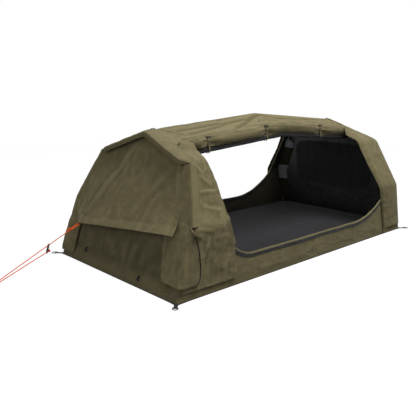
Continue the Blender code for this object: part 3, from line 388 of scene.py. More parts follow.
def half_section():
    """Half of the cross-section as (distance from the middle plane, height)."""
    corners = [Vector(corner) for corner in section_corners]
    knee = bend(corners[:3], knee_bend, bend_steps)
    shoulder = bend(corners[1:], shoulder_bend, bend_steps)
    return np.array([tuple(p) for p in knee[:-1] + shoulder[1:]])


section = half_section()
section_run = run_along(section)
section_tread = unit(np.gradient(section, axis=0))
section_normal = stacked(section_tread[:, 1], -section_tread[:, 0])
knee_run = section_run[1]
roof_start_run = section_run[-2]
roof_start_width = section[-2, 0]


def section_at(run):
    """Point and outward normal of the cross-section at a distance up from its hem."""
    return table(run, section_run, section), unit(table(run, section_run, section_normal))


def run_at_height(height):
    return np.interp(height, section[:, 1], section_run)


def run_at_width(width):
    return np.interp(-np.asarray(width), -section[:, 0], section_run)


roof_seam_run = float(run_at_width(roof_half_width))


def hoop_x(end, height):
    """Where the leaning end of the tent stands at a height."""
    lean = foot_lean if end == FOOT else head_lean
    return end * (base_length / 2 - hem_inset - lean * height)


def ridge_height(x):
    """Top of the canvas along the ridge, highest at the middle joiner."""
    x = np.asarray(x, float)
    reach = np.where(x < ridge_peak_x, hoop_x(FOOT, apex_height), hoop_x(HEAD, apex_height)) - ridge_peak_x
    share = np.minimum(1, (x - ridge_peak_x) / reach)
    return ridge_peak_height + (apex_height - ridge_peak_height) * share


def cloth_settings():
    return bpy.context.scene.swag_cloth


def side_swell(side, x, run, height):
    """Soft swell of the side canvas, level at the hoops, the ground and the roof seam."""
    spot = stacked(x, run, np.full_like(x, side * 0.5))
    room = np.minimum(x - hoop_x(FOOT, height), hoop_x(HEAD, height) - x)
    hold = smooth((room - 0.012) / 0.10) * smooth(run / 0.05) * smooth((roof_seam_run - run) / 0.06)
    slack = layered_noise(spot, (0.26, 0.13, 1), 3) * 0.0058
    slack = slack + ridged_noise(spot, (0.13, 0.075, 1), 11, 3) * 0.0028
    slack = slack + ridged_noise(spot, (0.045, 0.032, 1), 19) * 0.0010
    return slack * hold * cloth_settings().fold_share


def skin(side, x, run, lift):
    """Points on a side of the tent, lifted off its outer face."""
    x, run, lift = np.broadcast_arrays(np.asarray(x, float), np.asarray(run, float), np.asarray(lift, float))
    point, normal = section_at(run)
    lift = lift + side_swell(side, x, run, point[..., 1])
    flat = point + normal * lift[..., None]
    roof_share = (roof_start_width - point[..., 0]) / (roof_start_width - roof_half_width)
    rise = (ridge_height(x) - apex_height) * np.clip(roof_share, 0, 1)
    return stacked(x, side * flat[..., 0], flat[..., 1] + rise)


def margin_x(end, run):
    """The door opening's edge beside a hoop, which leans in over the roof."""
    share = np.clip((run - roof_start_run) / (roof_seam_run - roof_start_run), 0, 1)
    if end == FOOT:
        return foot_margin_x + foot_margin_lean * share
    return head_margin_x - head_margin_lean * share


def door_edge_run(x):
    """Top of the low side wall: the sill, curved up to the knee seam at the door's margins."""
    sill = run_at_height(sill_height)
    foot_share = (foot_margin_x + foot_corner_run - x) / foot_corner_run
    head_share = (x - head_margin_x + head_corner_run) / head_corner_run
    rise = np.clip(np.maximum(foot_share, head_share), 0, 1)
    spot = stacked(x, 0 * x, 0 * x)
    wave = layered_noise(spot, 0.16, 15, 2) * 0.0022 * (1 - rise)
    return sill + wave + (knee_run - gap - sill) * rise ** corner_power


def end_plane(end, across, height, lift):
    """Points on an end wall, lifted outwards along the tent."""
    across, height, lift = np.broadcast_arrays(*(np.asarray(v, float) for v in (across, height, lift)))
    return stacked(hoop_x(end, height) + end * lift, across, height)


def super_ellipse(middle, half, angle):
    """Points of a window's rounded outline as (across, height)."""
    c, s = np.cos(angle), np.sin(angle)
    reach = (np.abs(c / half[0]) ** window_power + np.abs(s / half[1]) ** window_power) ** (-1 / window_power)
    return stacked(reach * c, middle + reach * s)


def table(share, places, points):
    """Straight-line reading of a short table of numbers or points."""
    points = np.asarray(points, float)
    if points.ndim == 1:
        return np.interp(share, places, points)
    return np.stack([np.interp(share, places, points[:, k]) for k in range(points.shape[1])], axis=-1)


# Meshes from grids of points

stitch_lines = []


def new_object(name, mesh, *looks):
    """Adds a mesh to the scene with its finishes."""
    made = bpy.data.objects.new(name, mesh)
    bpy.context.scene.collection.objects.link(made)
    for look in looks:
        mesh.materials.append(finishes[look])
    return made


def grid_normals(grid, heart=tent_heart):
    """Normals of a grid of points, turned away from a heart point or line."""
    normals = unit(np.cross(np.gradient(grid, axis=1), np.gradient(grid, axis=0)))
    if np.sum(normals * (grid - np.asarray(heart, float))) < 0:
        normals = -normals
    return normals


def lifted(grid, lift, heart=tent_heart):
    """A grid moved off its own face, away from a heart."""
    return grid + grid_normals(grid, heart) * lift


def closed_cloth(name, outer, inner, outside, inside=None, relief=None, wrap=False, flat=None):
    """A closed thin mesh between two grids, with metre UVs and its relief as an attribute, which the cloth
    finishes paint as highlight on crests and shade in valleys.
    """
    rows, cols = outer.shape[:2]
    count = rows * cols
    index = np.arange(count).reshape(rows, cols)
    if wrap:
        after = np.roll(index, -1, axis=1)
        quads = stacked(index[:-1], after[:-1], after[1:], index[1:]).reshape(-1, 4)
        starts = np.concatenate([index[0], after[-1]])
        stops = np.concatenate([after[0], index[-1]])
    else:
        quads = stacked(index[:-1, :-1], index[:-1, 1:], index[1:, 1:], index[1:, :-1])
        quads = quads.reshape(-1, 4)
        starts = np.concatenate([index[0, :-1], index[:-1, -1], index[-1, :0:-1], index[:0:-1, 0]])
        stops = np.roll(starts, -1)
    rim = stacked(stops, starts, starts + count, stops + count)
    spots, backs = outer.reshape(-1, 3), inner.reshape(-1, 3)
    a, b, _, d = quads.T
    facing = np.cross(spots[b] - spots[a], spots[d] - spots[a])
    if np.sum(facing * (spots[a] - backs[a])) < 0:
        quads, rim = quads[:, ::-1], rim[:, ::-1]
    faces = np.concatenate([quads, quads[:, ::-1] + count, rim])
    mesh = bpy.data.meshes.new(name)
    mesh.from_pydata(np.concatenate([spots, backs]).tolist(), [], faces.tolist())
    kinds = np.zeros(len(faces), np.int32)
    kinds[len(quads):2 * len(quads)] = 1
    mesh.polygons.foreach_set("material_index", kinds)
    if flat is None:
        flat = stacked(lines_apart(outer, 1), lines_apart(outer, 0))
    flat = np.concatenate([flat.reshape(-1, 2)] * 2)
    layer = mesh.uv_layers.new(name="cloth")
    corners = np.empty(len(mesh.loops), np.int32)
    mesh.loops.foreach_get("vertex_index", corners)
    layer.data.foreach_set("uv", flat[corners].astype(np.float32).ravel())
    raised = np.zeros(count) if relief is None else np.asarray(relief).reshape(-1)
    store = mesh.attributes.new("fold", "FLOAT", "POINT")
    store.data.foreach_set("value", np.concatenate([raised, -raised]).astype(np.float32))
    made = new_object(name, mesh, outside, inside or outside)
    shade_smooth(mesh, 50)
    return made


def shade_smooth(mesh, sharp):
    """Smooth shading, apart from edges sharper than an angle in degrees."""
    mesh.shade_smooth()
    mesh.set_sharp_from_angle(angle=math.radians(sharp))


# Relief at which the fold attribute gives full painted highlight on a crest and full painted shade in a
# valley
fold_reading = 0.0016


def panel(name, node, grid, wall, depth, inside="inside canvas", heart=tent_heart):
    """A sewn cloth panel that stands for a node; depth is how far each point is raised."""
    shaped = lifted(grid, depth[..., None], heart)
    # Crests and valleys of the cloth, which the cloth finishes paint as highlight and shade
    relief = np.clip((depth - blurred(depth)) / fold_reading, -1, 1)
    made = closed_cloth(name, shaped, lifted(shaped, -wall, heart), "canvas", inside, relief)
    declare(made, node)
    return shaped


def grid_area(grid):
    """Area of a grid of points."""
    first = np.cross(grid[:-1, 1:] - grid[:-1, :-1], grid[1:, :-1] - grid[:-1, :-1])
    second = np.cross(grid[:-1, 1:] - grid[1:, 1:], grid[1:, :-1] - grid[1:, 1:])
    return float(np.linalg.norm(first, axis=-1).sum() + np.linalg.norm(second, axis=-1).sum()) / 2


def declare(made, node, body="tent"):
    """Puts a piece on the body it rides on and hides the node it stands for."""
    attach(made, body)
    if node:
        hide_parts(node)
    return made


def hem(away, width=0.022, rise=0.0011, dent=0.0009):
    """Raised double layer along an edge, with a small dent at its stitch line."""
    step = 1 - smooth((away - width) / 0.004)
    return step * rise - np.exp(-((away - width + 0.003) / 0.0024) ** 2) * dent


def pucker(points, away, reach, depth, seed, size=0.032):
    """Short ripples square to an edge, fading away from it."""
    return noise(points, size, seed) * depth * np.exp(-np.maximum(away, 0) / reach)


def sew(grid, heart=tent_heart, **insets):
    """Notes stitch lines at distances from a grid's edges."""
    raised = lifted(grid, stitch_lift, heart)
    for edge, distances in insets.items():
        stitch_lines.extend(inset_line(raised, edge, inset) for inset in distances)


def lofted(name, rings, material, sharp=45, caps=True, uv_round=True):
    """A closed mesh through rings of points, with metre UVs along and round it."""
    rings = np.asarray(rings, float)
    count, sides = rings.shape[:2]
    index = np.arange(count * sides).reshape(count, sides)
    turned = np.roll(index, -1, axis=1)
    quads = stacked(index[:-1], turned[:-1], turned[1:], index[1:]).reshape(-1, 4)
    faces = quads.tolist()
    if caps:
        faces += [index[0][::-1].tolist(), index[-1].tolist()]
    mesh = bpy.data.meshes.new(name)
    mesh.from_pydata(rings.reshape(-1, 3).tolist(), [], faces)
    if uv_round:
        along = run_along(rings.mean(axis=1))
        girth = np.linalg.norm(rings - np.roll(rings, -1, axis=1), axis=-1).sum(axis=1).mean()
        ring, side = np.divmod(np.arange(len(quads)), sides)
        corners = [(girth * (side + step) / sides, along[ring + far])
                   for far, step in ((0, 0), (0, 1), (1, 1), (1, 0))]
        values = np.zeros((len(mesh.loops), 2), np.float32)
        values[:quads.size] = np.transpose(corners, (2, 0, 1)).reshape(-1, 2)
        mesh.uv_layers.new(name="cloth").data.foreach_set("uv", values.ravel())
    build = bmesh.new()
    build.from_mesh(mesh)
    bmesh.ops.recalc_face_normals(build, faces=build.faces)
    build.to_mesh(mesh)
    build.free()
    shade_smooth(mesh, sharp)
    return new_object(name, mesh, material)


def sweep(path, radius, sides, up=Z_AXIS, closed=False):
    """Rings of a round bar along a path."""
    path = np.asarray(path, float)
    if closed:
        tread = unit(np.roll(path, -1, axis=0) - np.roll(path, 1, axis=0))
    else:
        tread = unit(np.gradient(path, axis=0))
    across = unit(np.cross(tread, np.broadcast_to(up, tread.shape)))
    over = np.cross(across, tread)
    turn = np.arange(sides) * math.tau / sides
    radius = np.broadcast_to(np.asarray(radius, float), (len(path),))[:, None, None]
    ring = across[:, None] * np.cos(turn)[:, None] + over[:, None] * np.sin(turn)[:, None]
    rings = path[:, None] + ring * radius
    return np.concatenate([rings, rings[:1]]) if closed else rings


def joined(name, pieces):
    """Joins finished objects into one."""
    for other in bpy.context.selected_objects:
        other.select_set(False)
    with bpy.context.temp_override(active_object=pieces[0], selected_editable_objects=pieces,
                                   selected_objects=pieces):
        bpy.ops.object.join()
    pieces[0].name = name
    return pieces[0]


def block(name, size, place, turn, bevel, material):
    """A turned, bevelled block with its size and place in its mesh."""
    build = bmesh.new()
    bmesh.ops.create_cube(build, size=1)
    bmesh.ops.scale(build, vec=Vector(size), verts=build.verts)
    bmesh.ops.bevel(build, geom=build.edges[:], offset=bevel, segments=2, profile=0.6, affect="EDGES")
    bmesh.ops.transform(build, matrix=turn, verts=build.verts)
    bmesh.ops.translate(build, vec=Vector(place), verts=build.verts)
    mesh = bpy.data.meshes.new(name)
    build.to_mesh(mesh)
    build.free()
    shade_smooth(mesh, 40)
    return new_object(name, mesh, material)


# Materials. Effects that several of them use are node groups.

class Graph:
    """Short words for placing and joining nodes in a tree."""

    def __init__(self, tree):
        self.tree = tree

    def node(self, kind, inputs=(), **settings):
        """A node with its settings, and with numbers or other sockets fed to its inputs."""
        made = self.tree.nodes.new(kind)
        for name, value in settings.items():
            setattr(made, name, value)
        for name, value in dict(inputs).items():
            self.feed(made.inputs[name], value)
        return made

    def feed(self, socket, value):
        if isinstance(value, bpy.types.NodeSocket):
            self.tree.links.new(value, socket)
        elif value is not None:
            socket.default_value = value

    def math(self, operation, *values, clamp=False):
        return self.node("ShaderNodeMath", enumerate(values), operation=operation, use_clamp=clamp).outputs[0]

    def mix(self, factor, low, high):
        return self.node("ShaderNodeMix", {"Factor": factor, 6: low, 7: high}, data_type="RGBA").outputs[2]

    def noise(self, vector, scale, detail, roughness, stretch=None):
        if stretch:
            vector = self.node("ShaderNodeMapping", {"Vector": vector, "Scale": stretch}).outputs[0]
        inputs = {"Vector": vector, "Scale": scale, "Detail": detail, "Roughness": roughness}
        return self.node("ShaderNodeTexNoise", inputs).outputs["Fac"]

    def spread(self, value, low, high, out_low=0.0, out_high=1.0):
        inputs = {"Value": value, "From Min": low, "From Max": high, "To Min": out_low, "To Max": out_high}
        return self.node("ShaderNodeMapRange", inputs).outputs[0]

    def bump(self, height, distance, strength, normal=None):
        inputs = {"Height": height, "Distance": distance, "Strength": strength, "Normal": normal}
        return self.node("ShaderNodeBump", inputs).outputs[0]

    def group(self, name, **inputs):
        inputs = {label.replace("_", " "): value for label, value in inputs.items()}
        return self.node("ShaderNodeGroup", inputs, node_tree=bpy.data.node_groups[name]).outputs


def shader_group(name, inputs, make):
    """A shader group of a vector and named numbers; make gives its outputs by their names."""
    tree = bpy.data.node_groups.new(name, "ShaderNodeTree")
    tree.interface.new_socket("Vector", in_out="INPUT", socket_type="NodeSocketVector")
    for label, value in inputs.items():
        tree.interface.new_socket(label, in_out="INPUT", socket_type="NodeSocketFloat").default_value = value
    graph = Graph(tree)
    outputs = make(graph, graph.node("NodeGroupInput").outputs)
    for label in outputs:
        tree.interface.new_socket(label, in_out="OUTPUT", socket_type="NodeSocketFloat")
    graph.node("NodeGroupOutput", outputs)


def plain_weave(graph, given):
    """Warp and weft threads that pass over and under each other."""
    parts = graph.node("ShaderNodeSeparateXYZ", {0: given["Vector"]}).outputs
    waves, rounds = [], []
    for part in (parts[0], parts[1]):
        turn = graph.math("MULTIPLY", part, given["Threads"])
        waves.append(graph.math("ABSOLUTE", graph.math("SINE", graph.math("MULTIPLY", turn, math.pi))))
        rounds.append(graph.math("FLOOR", turn))
    odd = graph.math("PINGPONG", graph.math("ADD", *rounds), 1.0)
    over = graph.math("MULTIPLY", waves[0], odd)
    under = graph.math("MULTIPLY", waves[1], graph.math("SUBTRACT", 1.0, odd))
    return {"Height": graph.math("ADD", over, under)}


def faded_cloth_with_painted_fold_shade(graph, given):
    """Uneven fading, soiling near the ground, and painted highlight on the crests of the folds with painted
    shade in their valleys.
    """
    point = given["Vector"]
    blotch = graph.noise(point, given["Blotch Scale"], 4.0, 0.55)
    streak = graph.noise(point, 26.0, 3.0, 0.6, stretch=(1.0, 1.0, 0.35))
    nap = graph.noise(point, 700.0, 2.0, 0.6)
    tone = graph.math("MULTIPLY_ADD", graph.spread(blotch, 0.30, 0.72), 0.36, 0.24)
    tone = graph.math("MULTIPLY_ADD", graph.spread(streak, 0.35, 0.70), 0.16, tone)
    tone = graph.math("MULTIPLY_ADD", graph.spread(nap, 0.3, 0.7), 0.12, tone)
    # Painted highlight on fold crests and painted shade in fold valleys, from the fold attribute
    crest = graph.math("MULTIPLY", given["Fold"], 0.60)
    low = graph.spread(graph.node("ShaderNodeSeparateXYZ", {0: point}).outputs[2], 0.10, 0.0)
    dirt = graph.spread(graph.noise(point, 18.0, 4.0, 0.65), 0.42, 0.75)
    return {"Tone": graph.math("ADD", tone, crest, clamp=True),
            "Soil": graph.math("MULTIPLY", low, dirt, clamp=True), "Nap": nap}


def worn_surface(graph, given):
    """Fine scratches, dull patches and pale rubbed spots for plastic and metal."""
    point = given["Vector"]
    scratch = graph.noise(point, given["Scratch Scale"], 3.0, 0.6, stretch=(0.15, 1.0, 1.0))
    return {"Scratch": graph.spread(scratch, 0.56, 0.64),
            "Dull": graph.spread(graph.noise(point, 40.0, 3.0, 0.55), 0.35, 0.68),
            "Rub": graph.spread(graph.noise(point, 120.0, 2.0, 0.5), 0.62, 0.72)}


def rgb(value, share=1.0):
    """A colour setting as a node's colour, made lighter or darker."""
    return (*(min(1.0, c * share) for c in value), 1.0)


class Finish(Graph):
    """A material, with the constants on its Principled shader's own sockets."""

    def __init__(self, name, roughness, **constants):
        self.material = bpy.data.materials.new(name)
        self.material.use_nodes = True
        super().__init__(self.material.node_tree)
        self.shader = self.tree.nodes["Principled BSDF"].inputs
        plain = {"Roughness": roughness, "Specular_IOR_Level": 0.2 if roughness > 0.6 else 0.5}
        for socket, value in {**plain, **constants}.items():
            self.shader[socket.replace("_", " ")].default_value = value
        place = self.node("ShaderNodeTexCoord").outputs
        self.point, self.flat = place["Object"], place["UV"]

    def painted(self, colour, roughness, normal):
        """The material, with its changing colour, roughness and normal joined up."""
        for name, value in (("Base Color", colour), ("Roughness", roughness), ("Normal", normal)):
            self.feed(self.shader[name], value)
        return self.material


def woven(name, light, deep, threads=1100.0, weave_depth=0.00022, roughness=0.88, blotch=7.0, soiled=True,
          crumple=0.0):
    """Woven cloth: threads by its own UV map with their raised tops painted lighter as a painted highlight,
    fading and soil over the surface, and painted highlight and shade along the folds.
    """
    cloth = Finish(name, roughness, Sheen_Weight=0.04)
    fold = cloth.node("ShaderNodeAttribute", attribute_name="fold").outputs["Fac"]
    faded = cloth.group("faded cloth with painted fold shade", Vector=cloth.point, Fold=fold, Blotch_Scale=blotch)
    weave = cloth.group("plain weave", Vector=cloth.flat, Threads=threads)["Height"]
    # Tone carries the fading and the painted highlight and shade of the folds
    base = cloth.mix(faded["Tone"], rgb(deep), rgb(light))
    # Raised thread tops painted lighter: a painted highlight on the weave
    base = cloth.mix(cloth.math("MULTIPLY", weave, 0.14), base, rgb(light, 1.25))
    if soiled:
        base = cloth.mix(cloth.math("MULTIPLY", faded["Soil"], 0.35), base, (0.150, 0.118, 0.070, 1))
    nap = cloth.spread(faded["Nap"], 0.2, 0.8, roughness - 0.06, min(1.0, roughness + 0.08))
    rough = cloth.bump(faded["Nap"], 0.0003, 0.5, normal=cloth.bump(weave, weave_depth, 0.8))
    rough = cloth.bump(cloth.noise(cloth.point, 55.0, 3.0, 0.6), 0.0028, 0.6, normal=rough)
    if crumple:
        rough = cloth.bump(cloth.noise(cloth.point, 17.0, 6.0, 0.72), crumple, 0.60, normal=rough)
    return cloth.painted(base, nap, rough)


def netting(name, tint):
    """Insect net: fine crossed threads, with the small holes between them painted darker as painted shade
    instead of cut open.
    """
    mesh = Finish(name, 0.7, Sheen_Weight=0.1)
    weave = mesh.group("plain weave", Vector=mesh.flat, Threads=650.0)["Height"]
    faded = mesh.group("faded cloth with painted fold shade", Vector=mesh.point, Fold=0.0, Blotch_Scale=9.0)
    base = mesh.mix(faded["Tone"], rgb(tint, 0.7), rgb(tint, 1.9))
    # The holes between the threads are painted darker: painted shade for the dark seen through them
    return mesh.painted(mesh.mix(weave, rgb(tint, 0.5), base), mesh.spread(faded["Nap"], 0.2, 0.8, 0.6, 0.85),
                        mesh.bump(weave, 0.0003, 0.8))


def vinyl(name, tint):
    """Pebbled vinyl with dull and dusty patches."""
    sheet = Finish(name, 0.5)
    dull = sheet.group("worn surface", Vector=sheet.point, Scratch_Scale=160.0)["Dull"]
    cells = sheet.node("ShaderNodeTexVoronoi", {"Vector": sheet.point, "Scale": 650.0}, feature="SMOOTH_F1")
    dust = sheet.spread(sheet.noise(sheet.point, 14.0, 4.0, 0.6), 0.48, 0.8)
    base = sheet.mix(sheet.math("MULTIPLY", dust, 0.35), rgb(tint), (0.075, 0.066, 0.052, 1))
    return sheet.painted(base, sheet.spread(dull, 0, 1, 0.38, 0.62),
                         sheet.bump(cells.outputs["Distance"], 0.0003, 0.5))


def brushed_fuzz(name, tint):
    """Short-haired mattress cloth, with patches painted paler as painted sheen, where the hair would lie
    towards the light.
    """
    fuzz = Finish(name, 0.95, Sheen_Weight=0.16, Sheen_Roughness=0.45, Sheen_Tint=(0.80, 0.80, 0.86, 1))
    hair = fuzz.noise(fuzz.point, 420.0, 4.0, 0.7)
    # Broad patches painted paler: a painted sheen of hair lying towards the light
    painted_nap_sheen = fuzz.noise(fuzz.point, 3.2, 4.0, 0.6, stretch=(0.5, 1.0, 1.0))
    pill = fuzz.noise(fuzz.point, 90.0, 3.0, 0.65)
    tone = fuzz.math("MULTIPLY", fuzz.spread(painted_nap_sheen, 0.3, 0.72), 0.6)
    tone = fuzz.math("MULTIPLY_ADD", fuzz.spread(hair, 0.3, 0.7), 0.4, tone, clamp=True)
    return fuzz.painted(fuzz.mix(tone, rgb(tint, 0.62), rgb(tint, 1.35)),
                        fuzz.spread(pill, 0.3, 0.7, 0.86, 1.0),
                        fuzz.bump(pill, 0.0012, 0.5, normal=fuzz.bump(hair, 0.0009, 0.7)))


def moulded(name, tint, gloss=0.38):
    """Moulded plastic with fine texture, dull patches and pale rubbed spots."""
    plastic = Finish(name, gloss)
    worn = plastic.group("worn surface", Vector=plastic.point, Scratch_Scale=900.0)
    base = plastic.mix(plastic.math("MULTIPLY", worn["Rub"], 0.35), rgb(tint), rgb(tint, 5.0))
    grain = plastic.bump(plastic.noise(plastic.point, 1600.0, 2.0, 0.6), 0.00006, 0.5)
    return plastic.painted(base, plastic.spread(worn["Dull"], 0, 1, gloss - 0.08, gloss + 0.18),
                           plastic.bump(worn["Scratch"], 0.00004, 0.6, normal=grain))


def metal(name, tint, gloss, scratch):
    """Drawn metal with fine scratches and a few dull spots."""
    drawn = Finish(name, gloss, Metallic=1.0)
    worn = drawn.group("worn surface", Vector=drawn.point, Scratch_Scale=scratch)
    return drawn.painted(drawn.mix(worn["Dull"], rgb(tint), rgb(tint, 0.72)),
                         drawn.spread(worn["Dull"], 0, 1, gloss, gloss + 0.22),
                         drawn.bump(worn["Scratch"], 0.00005, 0.5))


strand_width = 0.00393


def braided(name, tint):
    """Braided cord: crossing strands by the cord's own UV map, with painted highlight on their crests and
    painted shade in the grooves between them.
    """
    cord = Finish(name, 0.62)
    parts = cord.node("ShaderNodeSeparateXYZ", {0: cord.flat}).outputs
    strands = []
    for sign in (1, -1):
        lean = cord.math("MULTIPLY_ADD", parts[1], sign * 0.9, parts[0])
        turn = cord.math("MULTIPLY", lean, 2 * math.pi / strand_width)
        strands.append(cord.math("MULTIPLY_ADD", cord.math("SINE", turn), 0.5, 0.5))
    height = cord.math("MAXIMUM", *strands)
    fleck = cord.noise(cord.point, 900.0, 2.0, 0.6)
    # Strand crests painted lighter and grooves darker: painted highlight and painted shade
    tone = cord.math("MULTIPLY_ADD", height, 0.7, cord.math("MULTIPLY", fleck, 0.3), clamp=True)
    return cord.painted(cord.mix(tone, rgb(tint, 0.62), rgb(tint, 1.20)),
                        cord.spread(fleck, 0.2, 0.8, 0.5, 0.75), cord.bump(height, 0.0005, 0.9))


grey_band_heights = ((0.250, 0.368), (0.522, 0.590))


def banded_sleeve(name, light, deep):
    """Dark sleeve cloth with grey reflective bands at two heights."""
    cloth = Finish(name, 0.8)
    height = cloth.node("ShaderNodeSeparateXYZ", {0: cloth.point}).outputs[2]
    bands = [cloth.math("MULTIPLY", cloth.math("GREATER_THAN", height, low),
                        cloth.math("LESS_THAN", height, high)) for low, high in grey_band_heights]
    band = cloth.math("MAXIMUM", *bands)
    tone = cloth.group("faded cloth with painted fold shade", Vector=cloth.point, Fold=0.0, Blotch_Scale=12.0)["Tone"]
    weave = cloth.group("plain weave", Vector=cloth.flat, Threads=1000.0)["Height"]
    # Raised threads of the grey bands painted lighter: a painted highlight on the weave
    pale = cloth.mix(weave, (0.170, 0.176, 0.190, 1), (0.360, 0.370, 0.395, 1))
    return cloth.painted(cloth.mix(band, cloth.mix(tone, rgb(deep), rgb(light)), pale),
                         cloth.spread(band, 0, 1, 0.85, 0.55), cloth.bump(weave, 0.0003, 0.8))


finishes = {}


def build_materials(colours):
    """All finishes, by the words that the pieces below use, grouped under the names of the part's slots."""
    shader_group("plain weave", {"Threads": 1100.0}, plain_weave)
    shader_group("faded cloth with painted fold shade", {"Fold": 0.0, "Blotch Scale": 7.0}, faded_cloth_with_painted_fold_shade)
    shader_group("worn surface", {"Scratch Scale": 300.0}, worn_surface)

    def shades(colour, *shares):
        return [[c * share for c in colour] for share in shares]

    light, deep = colours.canvas_light, colours.canvas_deep
    inside, webbing = colours.inside_canvas, colours.webbing
    made = {
        "olive_canvas": {
            "canvas": woven("olive canvas", light, deep, crumple=0.0075),
            # A darker copy of the olive canvas: painted shade for the foot end wall, which lies in the
            # awning's shadow
            "sheltered canvas": woven("painted shade olive canvas", *shades(light, 0.74), *shades(deep, 0.66),
                                      crumple=0.0075),
            "binding": woven("olive binding", *shades(light, 1.12), *shades(deep, 1.35), threads=1400.0,
                             blotch=14.0),
            "inside canvas": woven("coated canvas inside", *shades(inside, 1.25, 0.75), soiled=False,
                                   crumple=0.008),
            "lining": woven("blackout lining", *shades(colours.lining, 1.5, 0.7), roughness=0.56,
                            soiled=False, crumple=0.008),
            "thread": moulded("olive thread", colours.thread, 0.7),
            "sleeve": banded_sleeve("pole sleeve cloth", *shades(inside, 1.1, 0.6))},
        # The window net is a lighter copy of the black net: painted light that offsets the shade on the
        # windows
        "black_net": {"net": netting("black net", (0.0055, 0.0058, 0.0066)),
                      "window net": netting("black window net", (0.021, 0.022, 0.022))},
        "black_vinyl": {"vinyl": vinyl("black vinyl", colours.vinyl)},
        "charcoal_cloth": {"mattress": brushed_fuzz("charcoal fuzz", colours.mattress)},
        "black_webbing": {
            "webbing": woven("black webbing", *shades(webbing, 1.8, 0.8), threads=600.0,
                             weave_depth=0.0005, roughness=0.7, blotch=20.0),
            "zip tape": woven("black zip tape", *shades(webbing, 2.6, 1.5), threads=1500.0,
                              roughness=0.65, blotch=20.0, soiled=False)},
        "black_plastic": {"coil": moulded("black zip coil", colours.plastic, 0.32),
                          "plastic": moulded("black plastic", colours.plastic)},
        "alloy_pole": {"alloy": metal("alloy pole", (0.52, 0.53, 0.55), 0.28, 220.0)},
        "ring_steel": {"steel": metal("ring steel", (0.13, 0.13, 0.128), 0.30, 700.0)},
        "orange_cord": {"cord": braided("orange cord", colours.cord)}}
    for slot, materials in made.items():
        finishes.update(materials)


# Shapes that pieces share with the solids of the frame

def resampled(path, count):
    """Even points along a path."""
    run = run_along(path)
    return table(np.linspace(0, run[-1], count), run, path)


def curve_part(a, b, c, d, t):
    """Points of a smooth curve between b and c, with a before and d after them."""
    return (b * 2 + (c - a) * t + (a * 2 - b * 5 + c * 4 - d) * t ** 2 + (b * 3 - a - c * 3 + d) * t ** 3) / 2


def smooth_route(route, count, steps=10):
    """Even points along a smooth curve through a route's own points."""
    spots = np.array(route, float)
    spots = np.vstack([2 * spots[0] - spots[1], spots, 2 * spots[-1] - spots[-2]])
    t = (np.arange(steps) / steps)[:, None]
    fine = []
    for a, b, c, d in zip(spots, spots[1:], spots[2:], spots[3:]):
        fine.extend(curve_part(a, b, c, d, t))
    fine.append(spots[-2])
    return resampled(np.array(fine), count)


def arc(centre, radius_x, radius_y, start, end, steps):
    """Points of a flat arc between two angles in degrees."""
    turn = np.radians(np.linspace(start, end, steps + 1))
    return stacked(centre[0] + radius_x * np.cos(turn), centre[1] + radius_y * np.sin(turn))


def strap(name, flat, thick, width, axes, origin, material, columns=4):
    """A flat strap along a flat path; axes are the path's two directions and the one across it."""
    tread = unit(np.gradient(flat, axis=0))
    left = stacked(-tread[:, 1], tread[:, 0])
    layers = []
    for level in (thick, 0):
        line = flat + left * level
        spine = origin + line[:, :1] * axes[0] + line[:, 1:] * axes[1]
        steps = np.linspace(-width / 2, width / 2, columns + 1)[:, None]
        layers.append(spine[:, None] + steps * axes[2])
    return closed_cloth(name, *layers, material)


def round_share(across):
    """Share of the roof's fall at a distance from its rounded ridge."""
    def rounded(reach):
        return np.hypot(reach, ridge_round) - ridge_round

    return rounded(across) / rounded(roof_half_width)


def pinch(x):
    """Share of a roll's full size that is left beside its ties."""
    squeeze = sum(np.exp(-((x - tie) / pinch_width) ** 2) for tie in tie_x_places.values())
    return 1 - pinch_share * squeeze


def roll_size(x):
    """Share of a roll's full size along it, tapering into both ends."""
    to_end = np.minimum(x - roll_start_x, roll_end_x - x)
    return pinch(x) * (0.55 + 0.45 * np.clip(to_end / roll_taper, 0, 1))


roll_back_share = math.cos(math.pi / 10)
net_roll_lift = 0.0025
net_roll_share = 0.80
roll_hang = 1.27


def roll_centre(x):
    """Middle of a rolled door as (distance from the middle plane, height)."""
    back = roll_half_depth * roll_size(x) * roll_back_share
    return stacked(roof_half_width + gap + back, ridge_height(x) - roll_drop)


def net_roll_centre(x):
    """Middle of the rolled insect net under it."""
    drop = roll_drop + roll_half_height + gap + net_roll_radius
    height = ridge_height(x) - drop + net_roll_lift
    return stacked(roof_half_width + roll_half_depth + 0 * x, height)


# Guy line

def guy_corner():
    """Outer face of the awning's rear corner, where the guy line is tied."""
    return end_plane(FOOT, *awning_rear_corner, awning_seam_lift + awning_reach)


def guy_frame():
    """Unit directions along the guy line, level across it, and square to both."""
    along = unit(np.array(guy_route[3]) - guy_corner())
    across = unit(np.cross(along, Z_AXIS))
    return along, across, np.cross(across, along)


knot_half = 0.0072
eyelet_reach = 0.014


def wrapped_knot(name, centre, along, turns=3):
    """A tight knot: turns of the rope round itself, with their ends tucked in."""
    across = unit(np.cross(along, Z_AXIS))
    up = np.cross(across, along)
    share = np.linspace(0, 1, turns * 18 + 1)[:, None]
    angle = share * turns * math.tau
    arm = rope_diameter * 1.25 * (0.35 + 0.65 * smooth(np.minimum(share, 1 - share) / 0.1))
    path = centre + along * (share - 0.5) * (2 * knot_half - rope_diameter)
    path = path + (across * np.cos(angle) + up * np.sin(angle)) * arm
    return lofted(name, sweep(path, rope_diameter / 2, 10, along), "cord", 60)


